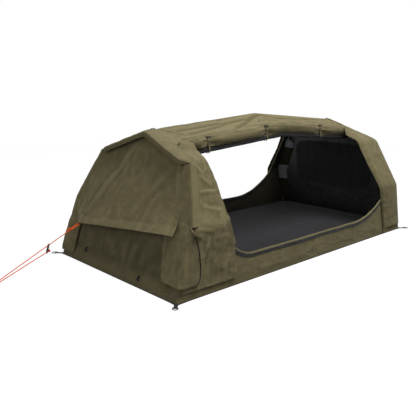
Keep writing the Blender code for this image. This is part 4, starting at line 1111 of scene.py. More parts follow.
class SWAG_OT_guy_line(Operator):
    """Braided rope from the awning's corner, with its hitch and stopper knot"""
    bl_idname = "swag.guy_line"
    bl_label = "Guy line"

    def execute(self, context):
        radius = rope_diameter / 2
        path = smooth_route(guy_route, 240)
        rope = lofted("guy_rope", sweep(path, radius, 12), "cord", 60)
        along, across, up = guy_frame()
        centre = np.array(guy_route[0]) - along * (knot_half + gap)
        near = guy_corner() + along * (eyelet_reach + gap + radius)
        middle, half = (near + centre) / 2, np.linalg.norm(centre - near) / 2
        turn = (np.arange(40) * math.tau / 40)[:, None]
        wide = 0.0075 + 0.0065 * np.clip(-np.cos(turn), 0, 1)
        loop = middle + along * half * np.cos(turn) + across * wide * np.sin(turn)
        bight = lofted("hitch_bight", sweep(loop, radius, 10, up, closed=True), "cord", 60, caps=False)
        tail = np.array([(0.0, 0.004), (0.010, 0.011), (0.021, 0.013), (0.031, 0.008)])
        tail = smooth_route(centre + tail[:, :1] * along + tail[:, 1:] * up, 16)
        tail = lofted("hitch_tail", sweep(tail, radius, 10), "cord", 60)
        hitch = joined("guy_hitch_rope", [bight, wrapped_knot("hitch_turns", centre, along), tail])
        declare(hitch, "guy_hitch")
        back = unit(np.array(guy_route[-1]) - np.array(guy_route[-2]))
        stopper = wrapped_knot("stopper_turns", np.array(guy_route[-1]) + back * (knot_half + gap), back)
        declare(stopper, "guy_stopper_knot")
        declare(rope, "guy_line")
        refinish("guy_adjuster", "plastic")
        thick, start = 0.0015, guy_corner() - along * 0.007
        flat = stacked(np.linspace(0, 0.021, 8), np.zeros(8))
        tab = strap("awning_tab", flat, thick, 0.014, (along, up, across), start - up * thick / 2, "webbing")
        declare(tab, "foot_awning")
        return {"FINISHED"}


def refinish(node, finish):
    """Gives a solid of the frame one of the finishes made here."""
    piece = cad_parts[node]
    for place in piece.material_slots:
        place.material = finishes[finish]


# Ground sheet

def corner_frame(end, side):
    """Corner of the ground sheet, outward direction along its diagonal, and direction across."""
    corner = np.array((end * base_length / 2, side * base_width / 2, 0))
    out = unit(np.array((end, side, 0.0)))
    return corner, out, np.array((-out[1], out[0], 0))


webbing_thick = 0.0016
webbing_reach = 0.030
webbing_width = 0.020
ring_wire = 0.0022
eye_radius = ring_wire + 0.0007
eye_height = gap + webbing_thick + eye_radius
cup_radius = 0.0078
cup_height = 0.016
pole_radius = 0.0055
hub_half = 0.026


class SWAG_OT_ground_sheet(Operator):
    """Black vinyl floor with webbing at its corners and cups for the poles"""
    bl_idname = "swag.ground_sheet"
    bl_label = "Ground sheet"

    def execute(self, context):
        along, across = np.meshgrid(spread(-1, 1, 0.02), spread(-1, 1, 0.04))
        flare = 0.006
        x = along * (base_length / 2 - flare * (1 - np.abs(across) ** 20))
        y = across * (base_width / 2 - flare * (1 - np.abs(along) ** 20))
        layers = [stacked(x, y, np.full_like(x, z)) for z in (ground_thick, 0)]
        floor = closed_cloth("floor_vinyl", *layers, "vinyl")
        declare(floor, "ground_sheet")
        eye = arc((webbing_reach, eye_height), eye_radius, eye_radius, 130, -130, 24)
        top = ground_thick + gap
        root = np.array(((-0.012, top), (-0.004, top), (0.008, 0.0022)))
        flat = np.vstack([root, (webbing_reach * 0.72, 0.0040), eye])
        for end_label, end in ENDS.items():
            lean = foot_lean if end == FOOT else head_lean
            for label, side in SIDES.items():
                corner, out, over = corner_frame(end, side)
                place = f"_{label}_{end_label}"
                axes = (out, Z_AXIS, over)
                piece = strap(f"corner_strap{place}", flat, webbing_thick, webbing_width, axes, corner,
                              "webbing", columns=6)
                declare(piece, "ground_sheet")
                low = inset_section(pole_inset)[0]
                middle = np.array((pole_x(end, low[1]), side * low[0], top))
                height = low[1] - gap - pole_radius * lean - middle[2]
                path = [middle + Z_AXIS * height * share for share in (0, 0.35, 0.4, 0.92, 1)]
                radii = np.array((1.0, 1.0, 0.93, 0.86, 0.8)) * cup_radius
                cup = lofted(f"pole_cup{place}", sweep(path, radii, 20, X_AXIS), "plastic", 35)
                declare(cup, "ground_sheet")
        return {"FINISHED"}


def inset_section(inset):
    """Unrounded half-section moved in by an inset, for the poles under the canvas."""
    corners = np.array(section_corners)
    runs = unit(np.diff(corners, axis=0))
    shifts = stacked(-runs[:, 1], runs[:, 0]) * inset
    starts = corners[:-1] + shifts
    moved = []
    for k in (0, 1):
        apart = starts[k + 1] - starts[k]
        along = np.cross(apart, runs[k + 1]) / np.cross(runs[k], runs[k + 1])
        moved.append(starts[k] + runs[k] * along)
    low = ground_thick + 2 * gap + cup_height
    first = starts[0] + runs[0] * ((low - starts[0][1]) / runs[0][1])
    hub = hub_half + gap + pole_radius * roof_fall
    last = starts[2] + runs[2] * ((hub - starts[2][0]) / runs[2][0])
    return [first] + moved + [last]


pole_inset = canvas + 2 * gap + cup_radius


def pole_x(end, height):
    """Hoop poles stand just inside the end walls."""
    return hoop_x(end, height) - end * (canvas + net + 3 * gap + cup_radius)


# Mattress

def slab_ring(settings, grow, height, steps=10):
    """Rounded rectangle of the mattress at a height, grown or drawn in."""
    half = np.array((settings.length, settings.width)) / 2 + grow
    radius = settings.corner + grow
    ring = []
    for quarter, (sx, sy) in enumerate(((1, 1), (-1, 1), (-1, -1), (1, -1))):
        for k in range(steps):
            angle = math.tau / 4 * (quarter + k / (steps - 1))
            ring.append((sx * (half[0] - radius) + radius * math.cos(angle),
                         sy * (half[1] - radius) + radius * math.sin(angle), height))
    return np.array(ring)


def evaluated_mesh(piece):
    """The piece's mesh with its modifiers in it."""
    shown = piece.evaluated_get(bpy.context.evaluated_depsgraph_get())
    return bpy.data.meshes.new_from_object(shown)


def with_modifier(piece, kind, **settings):
    """Replaces a piece's mesh with what one modifier makes of it."""
    made = piece.modifiers.new(kind, kind)
    for name, value in settings.items():
        setattr(made, name, value)
    result = evaluated_mesh(piece)
    piece.modifiers.remove(made)
    old, piece.data = piece.data, result
    bpy.data.meshes.remove(old)


def points_of(mesh):
    """A mesh's points as an array."""
    spots = np.empty(len(mesh.vertices) * 3)
    mesh.vertices.foreach_get("co", spots)
    return spots.reshape(-1, 3)


def inflate(piece, settings):
    """Fills a pad with pressure as cloth, and caps how far it may swell."""
    scene = bpy.context.scene
    rest = points_of(piece.data)
    cloth = piece.modifiers.new("cloth", "CLOTH")
    cloth.settings.use_pressure = True
    cloth.settings.uniform_pressure_force = settings.pressure
    cloth.settings.effector_weights.gravity = 0
    cloth.settings.quality = 4
    cloth.point_cache.frame_end = settings.frames
    for step in range(1, settings.frames + 1):
        scene.frame_set(step)
    filled = evaluated_mesh(piece)
    move = points_of(filled) - rest
    bpy.data.meshes.remove(filled)
    piece.modifiers.remove(cloth)
    scene.frame_set(1)
    far = np.linalg.norm(move, axis=1, keepdims=True)
    move *= np.minimum(1, settings.most_move / np.maximum(far, 1e-9))
    piece.data.vertices.foreach_set("co", (rest + move).ravel())
    piece.data.update()


# Growth and height of the pad's rings: from the base, at half its height, and from the top
pad_levels = ((-0.006, 0.002), (0, 0.009), (-0.003, 0.5), (0, -0.010), (-0.006, -0.003), (-0.016, 0.0))
welt_heights = {"top": -0.006, "base": 0.010}
welt_radius = 0.0026


class SWAG_OT_mattress(Operator):
    """Padded mattress with a welt round its top and bottom edges"""
    bl_idname = "swag.mattress"
    bl_label = "Mattress"

    def execute(self, context):
        settings = context.scene.swag_mattress
        floor = ground_thick + gap
        top = floor + settings.height
        shrink = settings.most_move * 0.8
        rings = []
        for grow, level in pad_levels:
            height = floor + (settings.height * level if level == 0.5 else level)
            if level <= 0:
                height = top + level - shrink / 2
            rings.append(slab_ring(settings, grow - shrink, height))
        pad = lofted("mattress_pad", rings, "mattress", 60, uv_round=False)
        with_modifier(pad, "REMESH", mode="VOXEL", voxel_size=settings.voxel)
        inflate(pad, settings)
        soften(pad.data, 2)
        settle(pad.data, floor)
        with_modifier(pad, "SUBSURF", levels=1, render_levels=1)
        pad.data.shade_smooth()
        declare(pad, "mattress_cover")
        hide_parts("mattress_foam")
        tree = BVHTree.FromObject(pad, context.evaluated_depsgraph_get())
        for label, height in welt_heights.items():
            height += top if label == "top" else floor
            line = np.array(slab_ring(settings, 0.02, height, 30))
            line = resampled(np.vstack([line, line[:1]]), 420)[:-1]
            seam = []
            for spot in line:
                hit = tree.find_nearest(Vector(spot))[0]
                seam.append((hit.x, hit.y, height))
            seam = np.array(seam)
            welt = lofted(f"mattress_welt_{label}", sweep(seam, welt_radius, 8, closed=True), "mattress",
                          60, caps=False)
            declare(welt, "mattress_cover")
        return {"FINISHED"}


def soften(mesh, passes):
    """Evens out a remeshed surface."""
    build = bmesh.new()
    build.from_mesh(mesh)
    for _ in range(passes):
        bmesh.ops.smooth_vert(build, verts=build.verts, factor=0.5, use_axis_x=True, use_axis_y=True,
                              use_axis_z=True)
    build.to_mesh(mesh)
    build.free()


def settle(mesh, floor):
    """Keeps a pad above the floor, and lays soft waves in its top as on a used mattress."""
    spots = points_of(mesh)
    share = smooth((spots[:, 2] - floor - 0.03) / 0.03)
    waves = layered_noise(spots * (1, 1, 0), (0.24, 0.30, 1), 41) * 0.0026
    fine = ridged_noise(spots * (1, 1, 0), (0.09, 0.13, 1), 17) * 0.0008
    spots[:, 2] += (waves + fine) * share * cloth_settings().fold_share
    spots[:, 2] = np.maximum(spots[:, 2], floor + gap)
    mesh.vertices.foreach_set("co", spots.ravel())
    mesh.update()


# Sides: low walls, quarters and storm flaps

foot_span, head_span = 0.24, 0.18


def wall_places(cell):
    """Place along the tent and run up the wall for a low side wall's grid."""
    bottom = run_at_height(ground_thick + gap)
    rise = knee_run - gap - bottom
    shares = even_shares(cell, rise)
    full = bottom + rise * shares
    height = section_at(full)[0][:, 1]
    xs, runs = [], []
    for part in even_shares(cell, foot_span)[:-1]:
        start = hoop_x(FOOT, height)
        xs.append(start + (foot_margin_x - start) * part)
        runs.append(full)
    for x in spread(foot_margin_x, head_margin_x, cell):
        xs.append(np.full_like(full, x))
        runs.append(bottom + (door_edge_run(x) - bottom) * shares)
    for part in even_shares(cell, head_span)[1:]:
        stop = hoop_x(HEAD, height)
        xs.append(head_margin_x + (stop - head_margin_x) * part)
        runs.append(full)
    return np.array(xs).T, np.array(runs).T


class SWAG_OT_side_walls(Operator):
    """Low canvas walls along both sides, cut down to the door sill"""
    bl_idname = "swag.side_walls"
    bl_label = "Side walls"

    def execute(self, context):
        cell = cloth_settings().cell
        x, run = wall_places(cell)
        for label, side in SIDES.items():
            grid = skin(side, x, run, 0)
            away = edge_lengths(grid)
            clear_of_zip = smooth((away["high"] - 0.026) / 0.012)
            spot = stacked(x, run, np.full_like(x, side))
            depth = hem(away["low"], 0.020, 0.0008) * clear_of_zip
            ripples = pucker(spot, away["low"], 0.05, 0.0022, 5, 0.040)
            depth = depth + ripples * smooth(away["low"] / 0.02) * clear_of_zip
            shaped = panel(f"canvas_wall_{label}", f"{label}_side_wall", grid, canvas, depth)
            sew(shaped, low=(0.0035, 0.0165))
        return {"FINISHED"}


quarter_span = 0.16


class SWAG_OT_quarters(Operator):
    """Canvas from the knee to the roof, between each hoop and its door"""
    bl_idname = "swag.quarters"
    bl_label = "Quarters"

    def execute(self, context):
        cell = cloth_settings().cell
        runs = spread(knee_run, float(run_at_width(roof_half_width + gap)), cell)[:, None]
        for label, side in SIDES.items():
            for end_label, end in ENDS.items():
                start = hoop_x(end, section_at(runs)[0][..., 1])
                stop = margin_x(end, runs)
                x = start + (stop - start) * even_shares(cell, quarter_span)
                run = np.broadcast_to(runs, x.shape)
                grid = skin(side, x, run, 0)
                depth = shoulder_folds(side, end, x, run) * smooth(np.abs(x - stop) / 0.02 - 1.4)
                place = f"{label}_{end_label}"
                shaped = panel(f"canvas_quarter_{place}", f"{place}_quarter", grid, canvas, depth, "lining")
                sew(shaped, high=(0.0035,))
        return {"FINISHED"}


def shoulder_folds(side, end, x, run):
    """Tension folds above the storm flap, drawn from the hoop towards the roll's tied end."""
    spot = stacked(x, run)
    above = smooth((run - float(run_at_width(flap_cover_half_widths[side])) - 0.004) / 0.012)
    edge = smooth((roof_seam_run - run) / 0.012)
    base = hoop_x(end, shoulder_height)
    depth = 0
    for start, stop, width in (((0.012, 0.10), (0.20, 0.010), 0.010), ((0.010, 0.05), (0.16, 0.002), 0.007)):
        low = (base - end * start[0], roof_seam_run - start[1])
        high = (base - end * stop[0], roof_seam_run - stop[1])
        depth = depth + crease(spot, low, high, width, 0.0045)
    return depth * above * edge * cloth_settings().fold_share


flap_span = 0.26
flap_blur = 4


def flap_places(side, end, cell):
    """Places, runs and lifts of a storm flap's grid, and its free edge."""
    bottom, top = run_at_height(flap_hem_height), float(run_at_width(flap_top_half_width))
    runs = spread(bottom, float(run_at_width(flap_cover_half_widths[side])), cell)
    share = (runs - bottom) / (top - bottom)
    reach, shares = rear_flap_reach, rear_flap_shares
    if side == FRONT:
        reach, shares = head_flap_reach, head_flap_shares
        if end == FOOT:
            reach, shares = foot_flap_reach, foot_flap_shares
    cover = blurred_line(table(share, flap_place_shares, shares), flap_blur)
    start = hoop_x(end, section_at(runs)[0][:, 1])[:, None]
    margin = margin_x(end, runs)[:, None] + 0 * start
    edge = margin - end * reach * cover[:, None]
    x = start + (edge - start) * even_shares(cell, flap_span)
    over_zip = margin + end * (zip_width + 2 * zip_edge)
    lift = flap_cloth + gap + (flap_gap - gap) * np.clip((x - start) / (over_zip - start), 0, 1)
    over_roll = smooth((share[:, None] - 0.965) / 0.055) * smooth((0.085 - np.abs(x - edge)) / 0.045)
    lift = lift + flap_cover_lift * over_roll * (side == FRONT)
    return x, np.broadcast_to(runs[:, None], x.shape), lift


# Tension folds as (start, end, width, depth)
foot_flap_creases = (
    ((0.006, 0.38), (0.010, 0.62), 0.0075, 0.0055), ((0.012, 0.665), (0.070, 0.600), 0.010, 0.0065),
    ((0.040, 0.605), (0.115, 0.545), 0.009, 0.0060), ((0.050, 0.520), (0.150, 0.512), 0.009, 0.0065),
    ((0.070, 0.445), (0.165, 0.415), 0.010, 0.0060), ((0.075, 0.73), (0.085, 0.62), 0.010, 0.0045),
    ((0.020, 0.345), (0.110, 0.325), 0.007, 0.0045), ((0.055, 0.31), (0.060, 0.10), 0.012, 0.0045),
    ((0.110, 0.30), (0.090, 0.08), 0.011, 0.0040))


def flap_folds(side, end, x, run, away, share):
    """Folds of a storm flap: a rolled free edge, and slack ripples along the hoop."""
    spot = stacked(x, run, np.full_like(x, side * 3 + end))
    free = away["right"]
    held = smooth(away["left"] / 0.03)
    deep = ridged_noise(spot, (0.06, 0.11, 1), 23, 3) * 0.0032
    deep = deep + layered_noise(spot, (0.12, 0.17, 1), 29) * 0.0044
    depth = (deep + 0.0036) * held
    if side == FRONT and end == HEAD:
        ridge = table(share, (0, 0.15, 0.45, 1), (0.010, 0.030, 0.052, 0.100))
        rolled = np.clip(free / ridge, 0, 1) ** 1.3 * np.exp(-(np.maximum(free - ridge, 0) / 0.010) ** 2)
        groove = np.exp(-((free - ridge - 0.020) / 0.008) ** 2) * 0.0045
        depth = depth * smooth(free / 0.12) + rolled * 0.0150 - groove + 0.001
    elif side == FRONT:
        for low, high, width, rise in foot_flap_creases:
            depth = depth + crease(stacked(away["left"], run), low, high, width, rise)
        depth = depth + pucker(spot, free, 0.022, 0.0030, 31, (0.10, 0.026, 1))
    return depth * cloth_settings().fold_share


knee_stitch_runs = (0.345, 0.353)
knee_stitch_reach = 0.088


class SWAG_OT_storm_flaps(Operator):
    """Outer layers sewn along the hoops that cover the door zips"""
    bl_idname = "swag.storm_flaps"
    bl_label = "Storm flaps"

    def execute(self, context):
        cell = cloth_settings().cell * 0.8
        for label, side in SIDES.items():
            for end_label, end in ENDS.items():
                x, run, lift = flap_places(side, end, cell)
                grid = skin(side, x, run, lift)
                away = edge_lengths(grid)
                share = (run - run.min()) / np.ptp(run)
                depth = flap_folds(side, end, x, run, away, share)
                depth = depth + hem(away["right"], 0.014, 0.0007) + hem(away["low"], 0.014, 0.0007)
                place = f"{label}_{end_label}"
                shaped = panel(f"canvas_flap_{place}", f"{place}_storm_flap", grid, flap_cloth, depth)
                sew(shaped, right=(0.0035, 0.0105), low=(0.0035, 0.0105), left=(0.0045,))
                if side == FRONT and end == FOOT:
                    for knee_stitch_run in knee_stitch_runs:
                        row = int(np.abs(run[:, 0] - knee_stitch_run).argmin())
                        knee = lifted(shaped, stitch_lift)[row]
                        stitch_lines.append(knee[away["left"][row] < knee_stitch_reach])
        return {"FINISHED"}


# Roof

def roof_grid(cell):
    """Places of the roof strip, from hoop to hoop over the rounded ridge."""
    across = spread(-1, 1, cell / roof_half_width)[:, None] * roof_half_width
    fall = roof_fall * roof_half_width * round_share(np.abs(across))
    start, stop = hoop_x(FOOT, apex_height - fall), hoop_x(HEAD, apex_height - fall)
    x = start + (stop - start) * even_shares(cell, 1.68)
    return stacked(x, across + 0 * x, ridge_height(x) - fall)


# Valleys between the roof's folds as (start, end, width, depth)
roof_valleys = (
    ((0.053, -0.022), (-0.36, -0.190), 0.021, 0.0190), ((0.053, -0.022), (0.50, -0.190), 0.021, 0.0180),
    # The two long valleys beside the rolls also take painted shade from the fold attribute, a dark line above
    # the rolls
    ((-0.70, -0.163), (0.70, -0.163), 0.0090, 0.0150), ((-0.70, 0.163), (0.70, 0.163), 0.0090, 0.0150),
    ((0.020, -0.040), (-0.62, -0.130), 0.016, 0.0100), ((0.090, -0.040), (0.66, -0.120), 0.016, 0.0090),
    ((0.053, 0.022), (-0.30, 0.185), 0.017, 0.0065), ((0.053, 0.022), (0.44, 0.185), 0.018, 0.0070),
    ((0.060, -0.030), (0.16, -0.185), 0.013, 0.0035), ((0.046, -0.030), (-0.10, -0.185), 0.013, 0.0035),
    ((-0.74, -0.030), (-0.60, -0.185), 0.012, 0.0040), ((0.86, -0.030), (0.72, -0.185), 0.012, 0.0040),
    ((-0.66, -0.070), (-0.10, -0.062), 0.014, 0.0080), ((0.18, -0.066), (0.62, -0.060), 0.014, 0.0080),
    ((-0.62, 0.070), (-0.04, 0.058), 0.013, 0.0070), ((0.10, 0.062), (0.60, 0.072), 0.013, 0.0070))


def roof_folds(grid):
    """Folds that run from the raised middle of the ridge down to the roof's edges."""
    flat = grid[..., :2]
    depth = 0
    for start, stop, width, deep in roof_valleys:
        depth = depth - crease(flat, start, stop, width, deep)
    spot = grid * (1, 1, 0)
    reach = np.abs(flat[..., 1])
    depth = depth + layered_noise(spot, (0.20, 0.12, 1), 61) * 0.0050
    depth = depth + ridged_noise(spot, (0.10, 0.06, 1), 67, 3) * 0.0026
    tied = 0
    for tie in tie_x_places.values():
        near = np.exp(-((flat[..., 0] - tie) / 0.05) ** 2)
        tied = np.maximum(tied, smooth((0.030 - np.abs(flat[..., 0] - tie)) / 0.012))
        depth = depth + near * np.sin((flat[..., 0] - tie) / 0.0075) * 0.0011 * smooth((reach - 0.12) / 0.05)
    free = smooth((roof_half_width - 0.006 - reach) / 0.02) * smooth((reach - 0.008) / 0.02)
    ends = smooth((flat[..., 0] - hoop_x(FOOT, apex_height) - 0.01) / 0.03)
    ends = ends * smooth((hoop_x(HEAD, apex_height) - 0.01 - flat[..., 0]) / 0.03)
    depth = depth * free * ends * (1 - tied * smooth((reach - 0.14) / 0.02)) * cloth_settings().fold_share
    return depth + hem(roof_half_width - reach, 0.014, 0.0012, 0.0012)


loop_rise = {"foot": 0.0065, "head": 0.0035}


class SWAG_OT_roof(Operator):
    """Roof strip with its folds, seams and the webbing loops on the ridge"""
    bl_idname = "swag.roof"
    bl_label = "Roof"

    def execute(self, context):
        grid = roof_grid(cloth_settings().cell * 0.85)
        depth = roof_folds(grid)
        shaped = panel("canvas_roof", "roof_panel_foot", grid, canvas, depth, "lining")
        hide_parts("roof_panel_head")
        sew(shaped, low=(0.004, 0.011), high=(0.004, 0.011), left=(0.006,), right=(0.006,))
        length, thick, foot = 0.024, 0.0015, 0.006
        for end_label, end in ENDS.items():
            height = loop_rise[end_label]
            x = float(hoop_x(end, apex_height)) - end * (length / 2 + 0.010)
            tilt = float(ridge_height(x + length / 2) - ridge_height(x - length / 2)) / length
            flat = arc((0, 0), length / 2, height, 180, 0, 20)
            flat[:, 1] += tilt * flat[:, 0]
            feet = np.array(((-length / 2 - foot, gap - foot * tilt), (length / 2 + foot, gap + foot * tilt)))
            flat = np.vstack([feet[:1], flat + (0, gap), feet[1:]])
            origin = np.array((x, 0, float(ridge_height(x))))
            loop = strap(f"ridge_loop_{end_label}", flat, thick, 0.014, (X_AXIS, Z_AXIS, Y_AXIS), origin,
                         "webbing")
            declare(loop, f"roof_panel_{end_label}")
        return {"FINISHED"}


# End walls and windows

def end_swell(end, across, height):
    """Inward slack of an end wall, level along the hoop and the ground."""
    half = np.interp(height, section[:, 1], section[:, 0])
    room = np.minimum(half - np.abs(across), height)
    spot = stacked(across, height, np.full_like(across, end * 2.5))
    slack = layered_noise(spot, (0.20, 0.16, 1), 71) * 0.0056
    slack = slack + ridged_noise(spot, (0.08, 0.15, 1), 73) * 0.0034
    return (slack - 0.0095) * smooth((room - 0.02) / 0.08) * cloth_settings().fold_share


def end_cloth(name, node, end, flat, lift, wall, outside, inside, wrap=False):
    """A sheet parallel to an end wall from flat (across, height) points."""
    swell = end_swell(end, flat[..., 0], flat[..., 1])
    layers = [end_plane(end, flat[..., 0], flat[..., 1], lift + swell - level) for level in (0, wall)]
    # Crests and valleys of the slack, which the cloth finishes paint as highlight and shade
    relief = np.clip((swell - blurred(swell)) / fold_reading, -1, 1)
    made = closed_cloth(name, *layers, outside, inside, relief, wrap=wrap, flat=flat)
    declare(made, node)
    size = np.ptp(flat.reshape(-1, 2), axis=0)
    cut = grid_area(np.concatenate([layers[0], layers[0][:, :1]], axis=1) if wrap else layers[0])
    min(cut, float(size.prod()))
    return layers[0]


def end_outline(cell):
    """Outline of an end wall, drawn in to sit inside the side canvas and the roof."""
    inset = canvas + gap
    bottom = run_at_height(ground_thick + gap)
    runs = spread(bottom, roof_seam_run, cell)
    point, normal = section_at(runs)
    half = point - normal * inset
    half[0] = (half[0][0], ground_thick + gap)
    across = spread(roof_half_width, 0, cell)[1:]
    fall = roof_fall * roof_half_width * round_share(across)
    top = stacked(across, apex_height - fall - inset * math.hypot(1, roof_fall))
    half = np.vstack([half, top])
    front = half * (-1, 1)
    floor = spread(half[0][0], -half[0][0], cell * 2)[1:-1]
    base = stacked(floor, np.full_like(floor, half[0][1]))
    return np.vstack([front, half[-2::-1], base])


def window_grid(middle, half, border, cell):
    """Flat points of a rounded window cloth, from a square grid."""
    grown = np.array(half) + border
    u, v = np.meshgrid(spread(-1, 1, cell / grown[0]), spread(-1, 1, cell / grown[1]))
    reach = np.maximum(np.abs(u), np.abs(v))
    angle = np.arctan2(v * grown[1], u * grown[0])
    rim = super_ellipse(middle, grown, angle)
    centre = np.array((0, middle))
    return centre + (rim - centre) * reach[..., None]


wall_loop_places = {"front": (-0.226, 0.046), "rear": (0.297, 0.078)}
wall_loop_radius = 0.0042
end_span = 0.26


class SWAG_OT_end_walls(Operator):
    """Canvas end walls with nets in their windows, and the cover over the head window"""
    bl_idname = "swag.end_walls"
    bl_label = "End walls and windows"

    def execute(self, context):
        cell = cloth_settings().cell
        windows = {"foot": (foot_window_half, foot_window_height),
                   "head": (head_window_half, head_window_height)}
        for end_label, (half, middle) in windows.items():
            end = ENDS[end_label]
            outer = end_outline(cell)
            inner = super_ellipse(middle, half, np.arctan2(outer[:, 1] - middle, outer[:, 0]))
            shares = even_shares(cell, end_span)[:, None, None]
            flat = outer + (inner - outer) * shares
            # The foot end wall takes the darker canvas copy, painted shade under the awning
            face = end_cloth(f"canvas_end_{end_label}", f"{end_label}_end_wall", end, flat, 0, canvas,
                             "canvas" if end == HEAD else "sheltered canvas", "lining", wrap=True)
            for row in (face[-2], face[-4]):
                stitch_lines.append(np.vstack([row, row[:1]]) + X_AXIS * end * stitch_lift)
            edge = window_grid(middle, half, window_seam, cell)
            # The window nets take the lighter net copy, painted light against their shade
            end_cloth(f"window_net_{end_label}", f"{end_label}_window_net", end, edge, -canvas - gap, net,
                      "window net", "window net")
        cover = window_grid(head_window_height, head_window_half, window_cover_border, cell)
        face = end_cloth("window_cover_head", "head_window_cover", HEAD, cover, gap + flap_cloth, flap_cloth,
                         "canvas", "inside canvas")
        for edge_name in ("low", "high", "left", "right"):
            stitch_lines.append(inset_line(face + X_AXIS * stitch_lift, edge_name, 0.006))
        bow = arc((0.001, 0), 0.012, 0.010, -90, 90, 12)
        for label, (across, height) in wall_loop_places.items():
            path = end_plane(FOOT, across, height + bow[:, 1], bow[:, 0])
            loop = lofted(f"wall_loop_{label}", sweep(path, wall_loop_radius, 10, Y_AXIS), "webbing", 60)
            declare(loop, None)
        return {"FINISHED"}


# Awning and corner sleeves

# Tension folds as (start, end, width, depth)
awning_creases = (
    ((0.070, 0.690), (0.330, 0.300), 0.026, 0.0080), ((0.020, 0.690), (0.200, 0.400), 0.020, 0.0050),
    ((-0.255, 0.600), (-0.080, 0.360), 0.024, 0.0045), ((0.250, 0.480), (0.372, 0.240), 0.009, 0.0045),
    ((0.350, 0.540), (0.385, 0.260), 0.009, 0.0040))


class SWAG_OT_awning(Operator):
    """Hood over the foot window with its folded hem"""
    bl_idname = "swag.awning"
    bl_label = "Awning"

    def execute(self, context):
        cell = cloth_settings().cell
        share = even_shares(cell, 0.55)[:, None]
        rear = table(share[:, 0], awning_rear_shares, awning_rear_edge)[:, None]
        front = table(share[:, 0], awning_front_shares, awning_front_edge)[:, None] * (-1, 1)
        crease_line = (np.array(awning_peak) + (np.array(awning_rear_corner) - awning_peak) * share)[:, None]
        stand_off = awning_reach * share ** 1.5 + awning_flare * share ** 3
        wing, main = even_shares(cell, 0.14)[:-1], even_shares(cell, 0.75)
        flat = np.concatenate([rear + (crease_line - rear) * wing[:, None],
                               crease_line + (front - crease_line) * main[:, None]], axis=1)
        close = awning_reach * share ** 4 + awning_flare * share ** 6
        lift = np.concatenate([stand_off * wing, stand_off + (close - stand_off) * main ** 2], axis=1)
        lift = awning_seam_lift + lift
        grid = end_plane(FOOT, flat[..., 0], flat[..., 1], lift)
        away = edge_lengths(grid)
        spot = grid * (0.2, 1, 1)
        held = smooth(away["right"] / 0.05) * smooth(share / 0.15)
        billow = np.concatenate([0 * wing, np.sin(math.pi * main) ** 1.2]) * 0.010 * smooth(share * 1.2)
        depth = layered_noise(spot, (1, 0.19, 0.14), 83) * 0.0062 * held
        depth = depth + ridged_noise(spot, (1, 0.075, 0.10), 87, 3) * 0.0028 * held
        for start, stop, width, rise in awning_creases:
            depth = depth + crease(grid[..., 1:], start, stop, width, rise) * held
        depth = depth * cloth_settings().fold_share + billow * smooth(away["right"] / 0.04)
        depth = depth + hem(away["high"], 0.050, 0.0022, 0.0018) + hem(away["right"], 0.018, 0.0014)
        depth = np.maximum(depth, 0)
        shaped = panel("canvas_awning", "foot_awning", grid, flap_cloth, depth, heart=foot_heart)
        sew(shaped, foot_heart, high=(0.006, 0.046), right=(0.004, 0.015), left=(0.005,))
        seam = lifted(shaped, stitch_lift, foot_heart)[:, len(wing)]
        stitch_lines.append(seam - Y_AXIS * 0.004)
        return {"FINISHED"}


def through(points, steps):
    """Smooth curves through columns of points."""
    before, after = 2 * points[:, :1] - points[:, 1:2], 2 * points[:, -1:] - points[:, -2:-1]
    wide = np.concatenate([before, points, after], axis=1)
    columns = []
    for k in range(points.shape[1] - 1):
        a, b, c, d = (wide[:, k + m] for m in range(4))
        for t in np.arange(steps) / steps:
            columns.append(curve_part(a, b, c, d, t))
    columns.append(points[:, -1])
    return np.stack(columns, axis=1)


def cut_rows(grid, cut):
    """The grid with each row shortened by a length and spread out evenly again."""
    along = lines_apart(grid, 1)
    places = (along[:, -1] + cut)[:, None] * np.linspace(0, 1, grid.shape[1])
    return np.array([table(at, line, row) for at, line, row in zip(places, along, grid)])


# The sleeves' facing and band beside their free edge. The facing is a black strip laid as painted shade of
# the slit under that edge
band_places = (0.06, 0.20, 0.45, 0.75, 0.90)
band_shares = (0, 0.35, 1, 1, 0.1)
band_start = 0.0085
band_fold = 0.011
band_thick = 0.0012
piping_radius = 0.0019


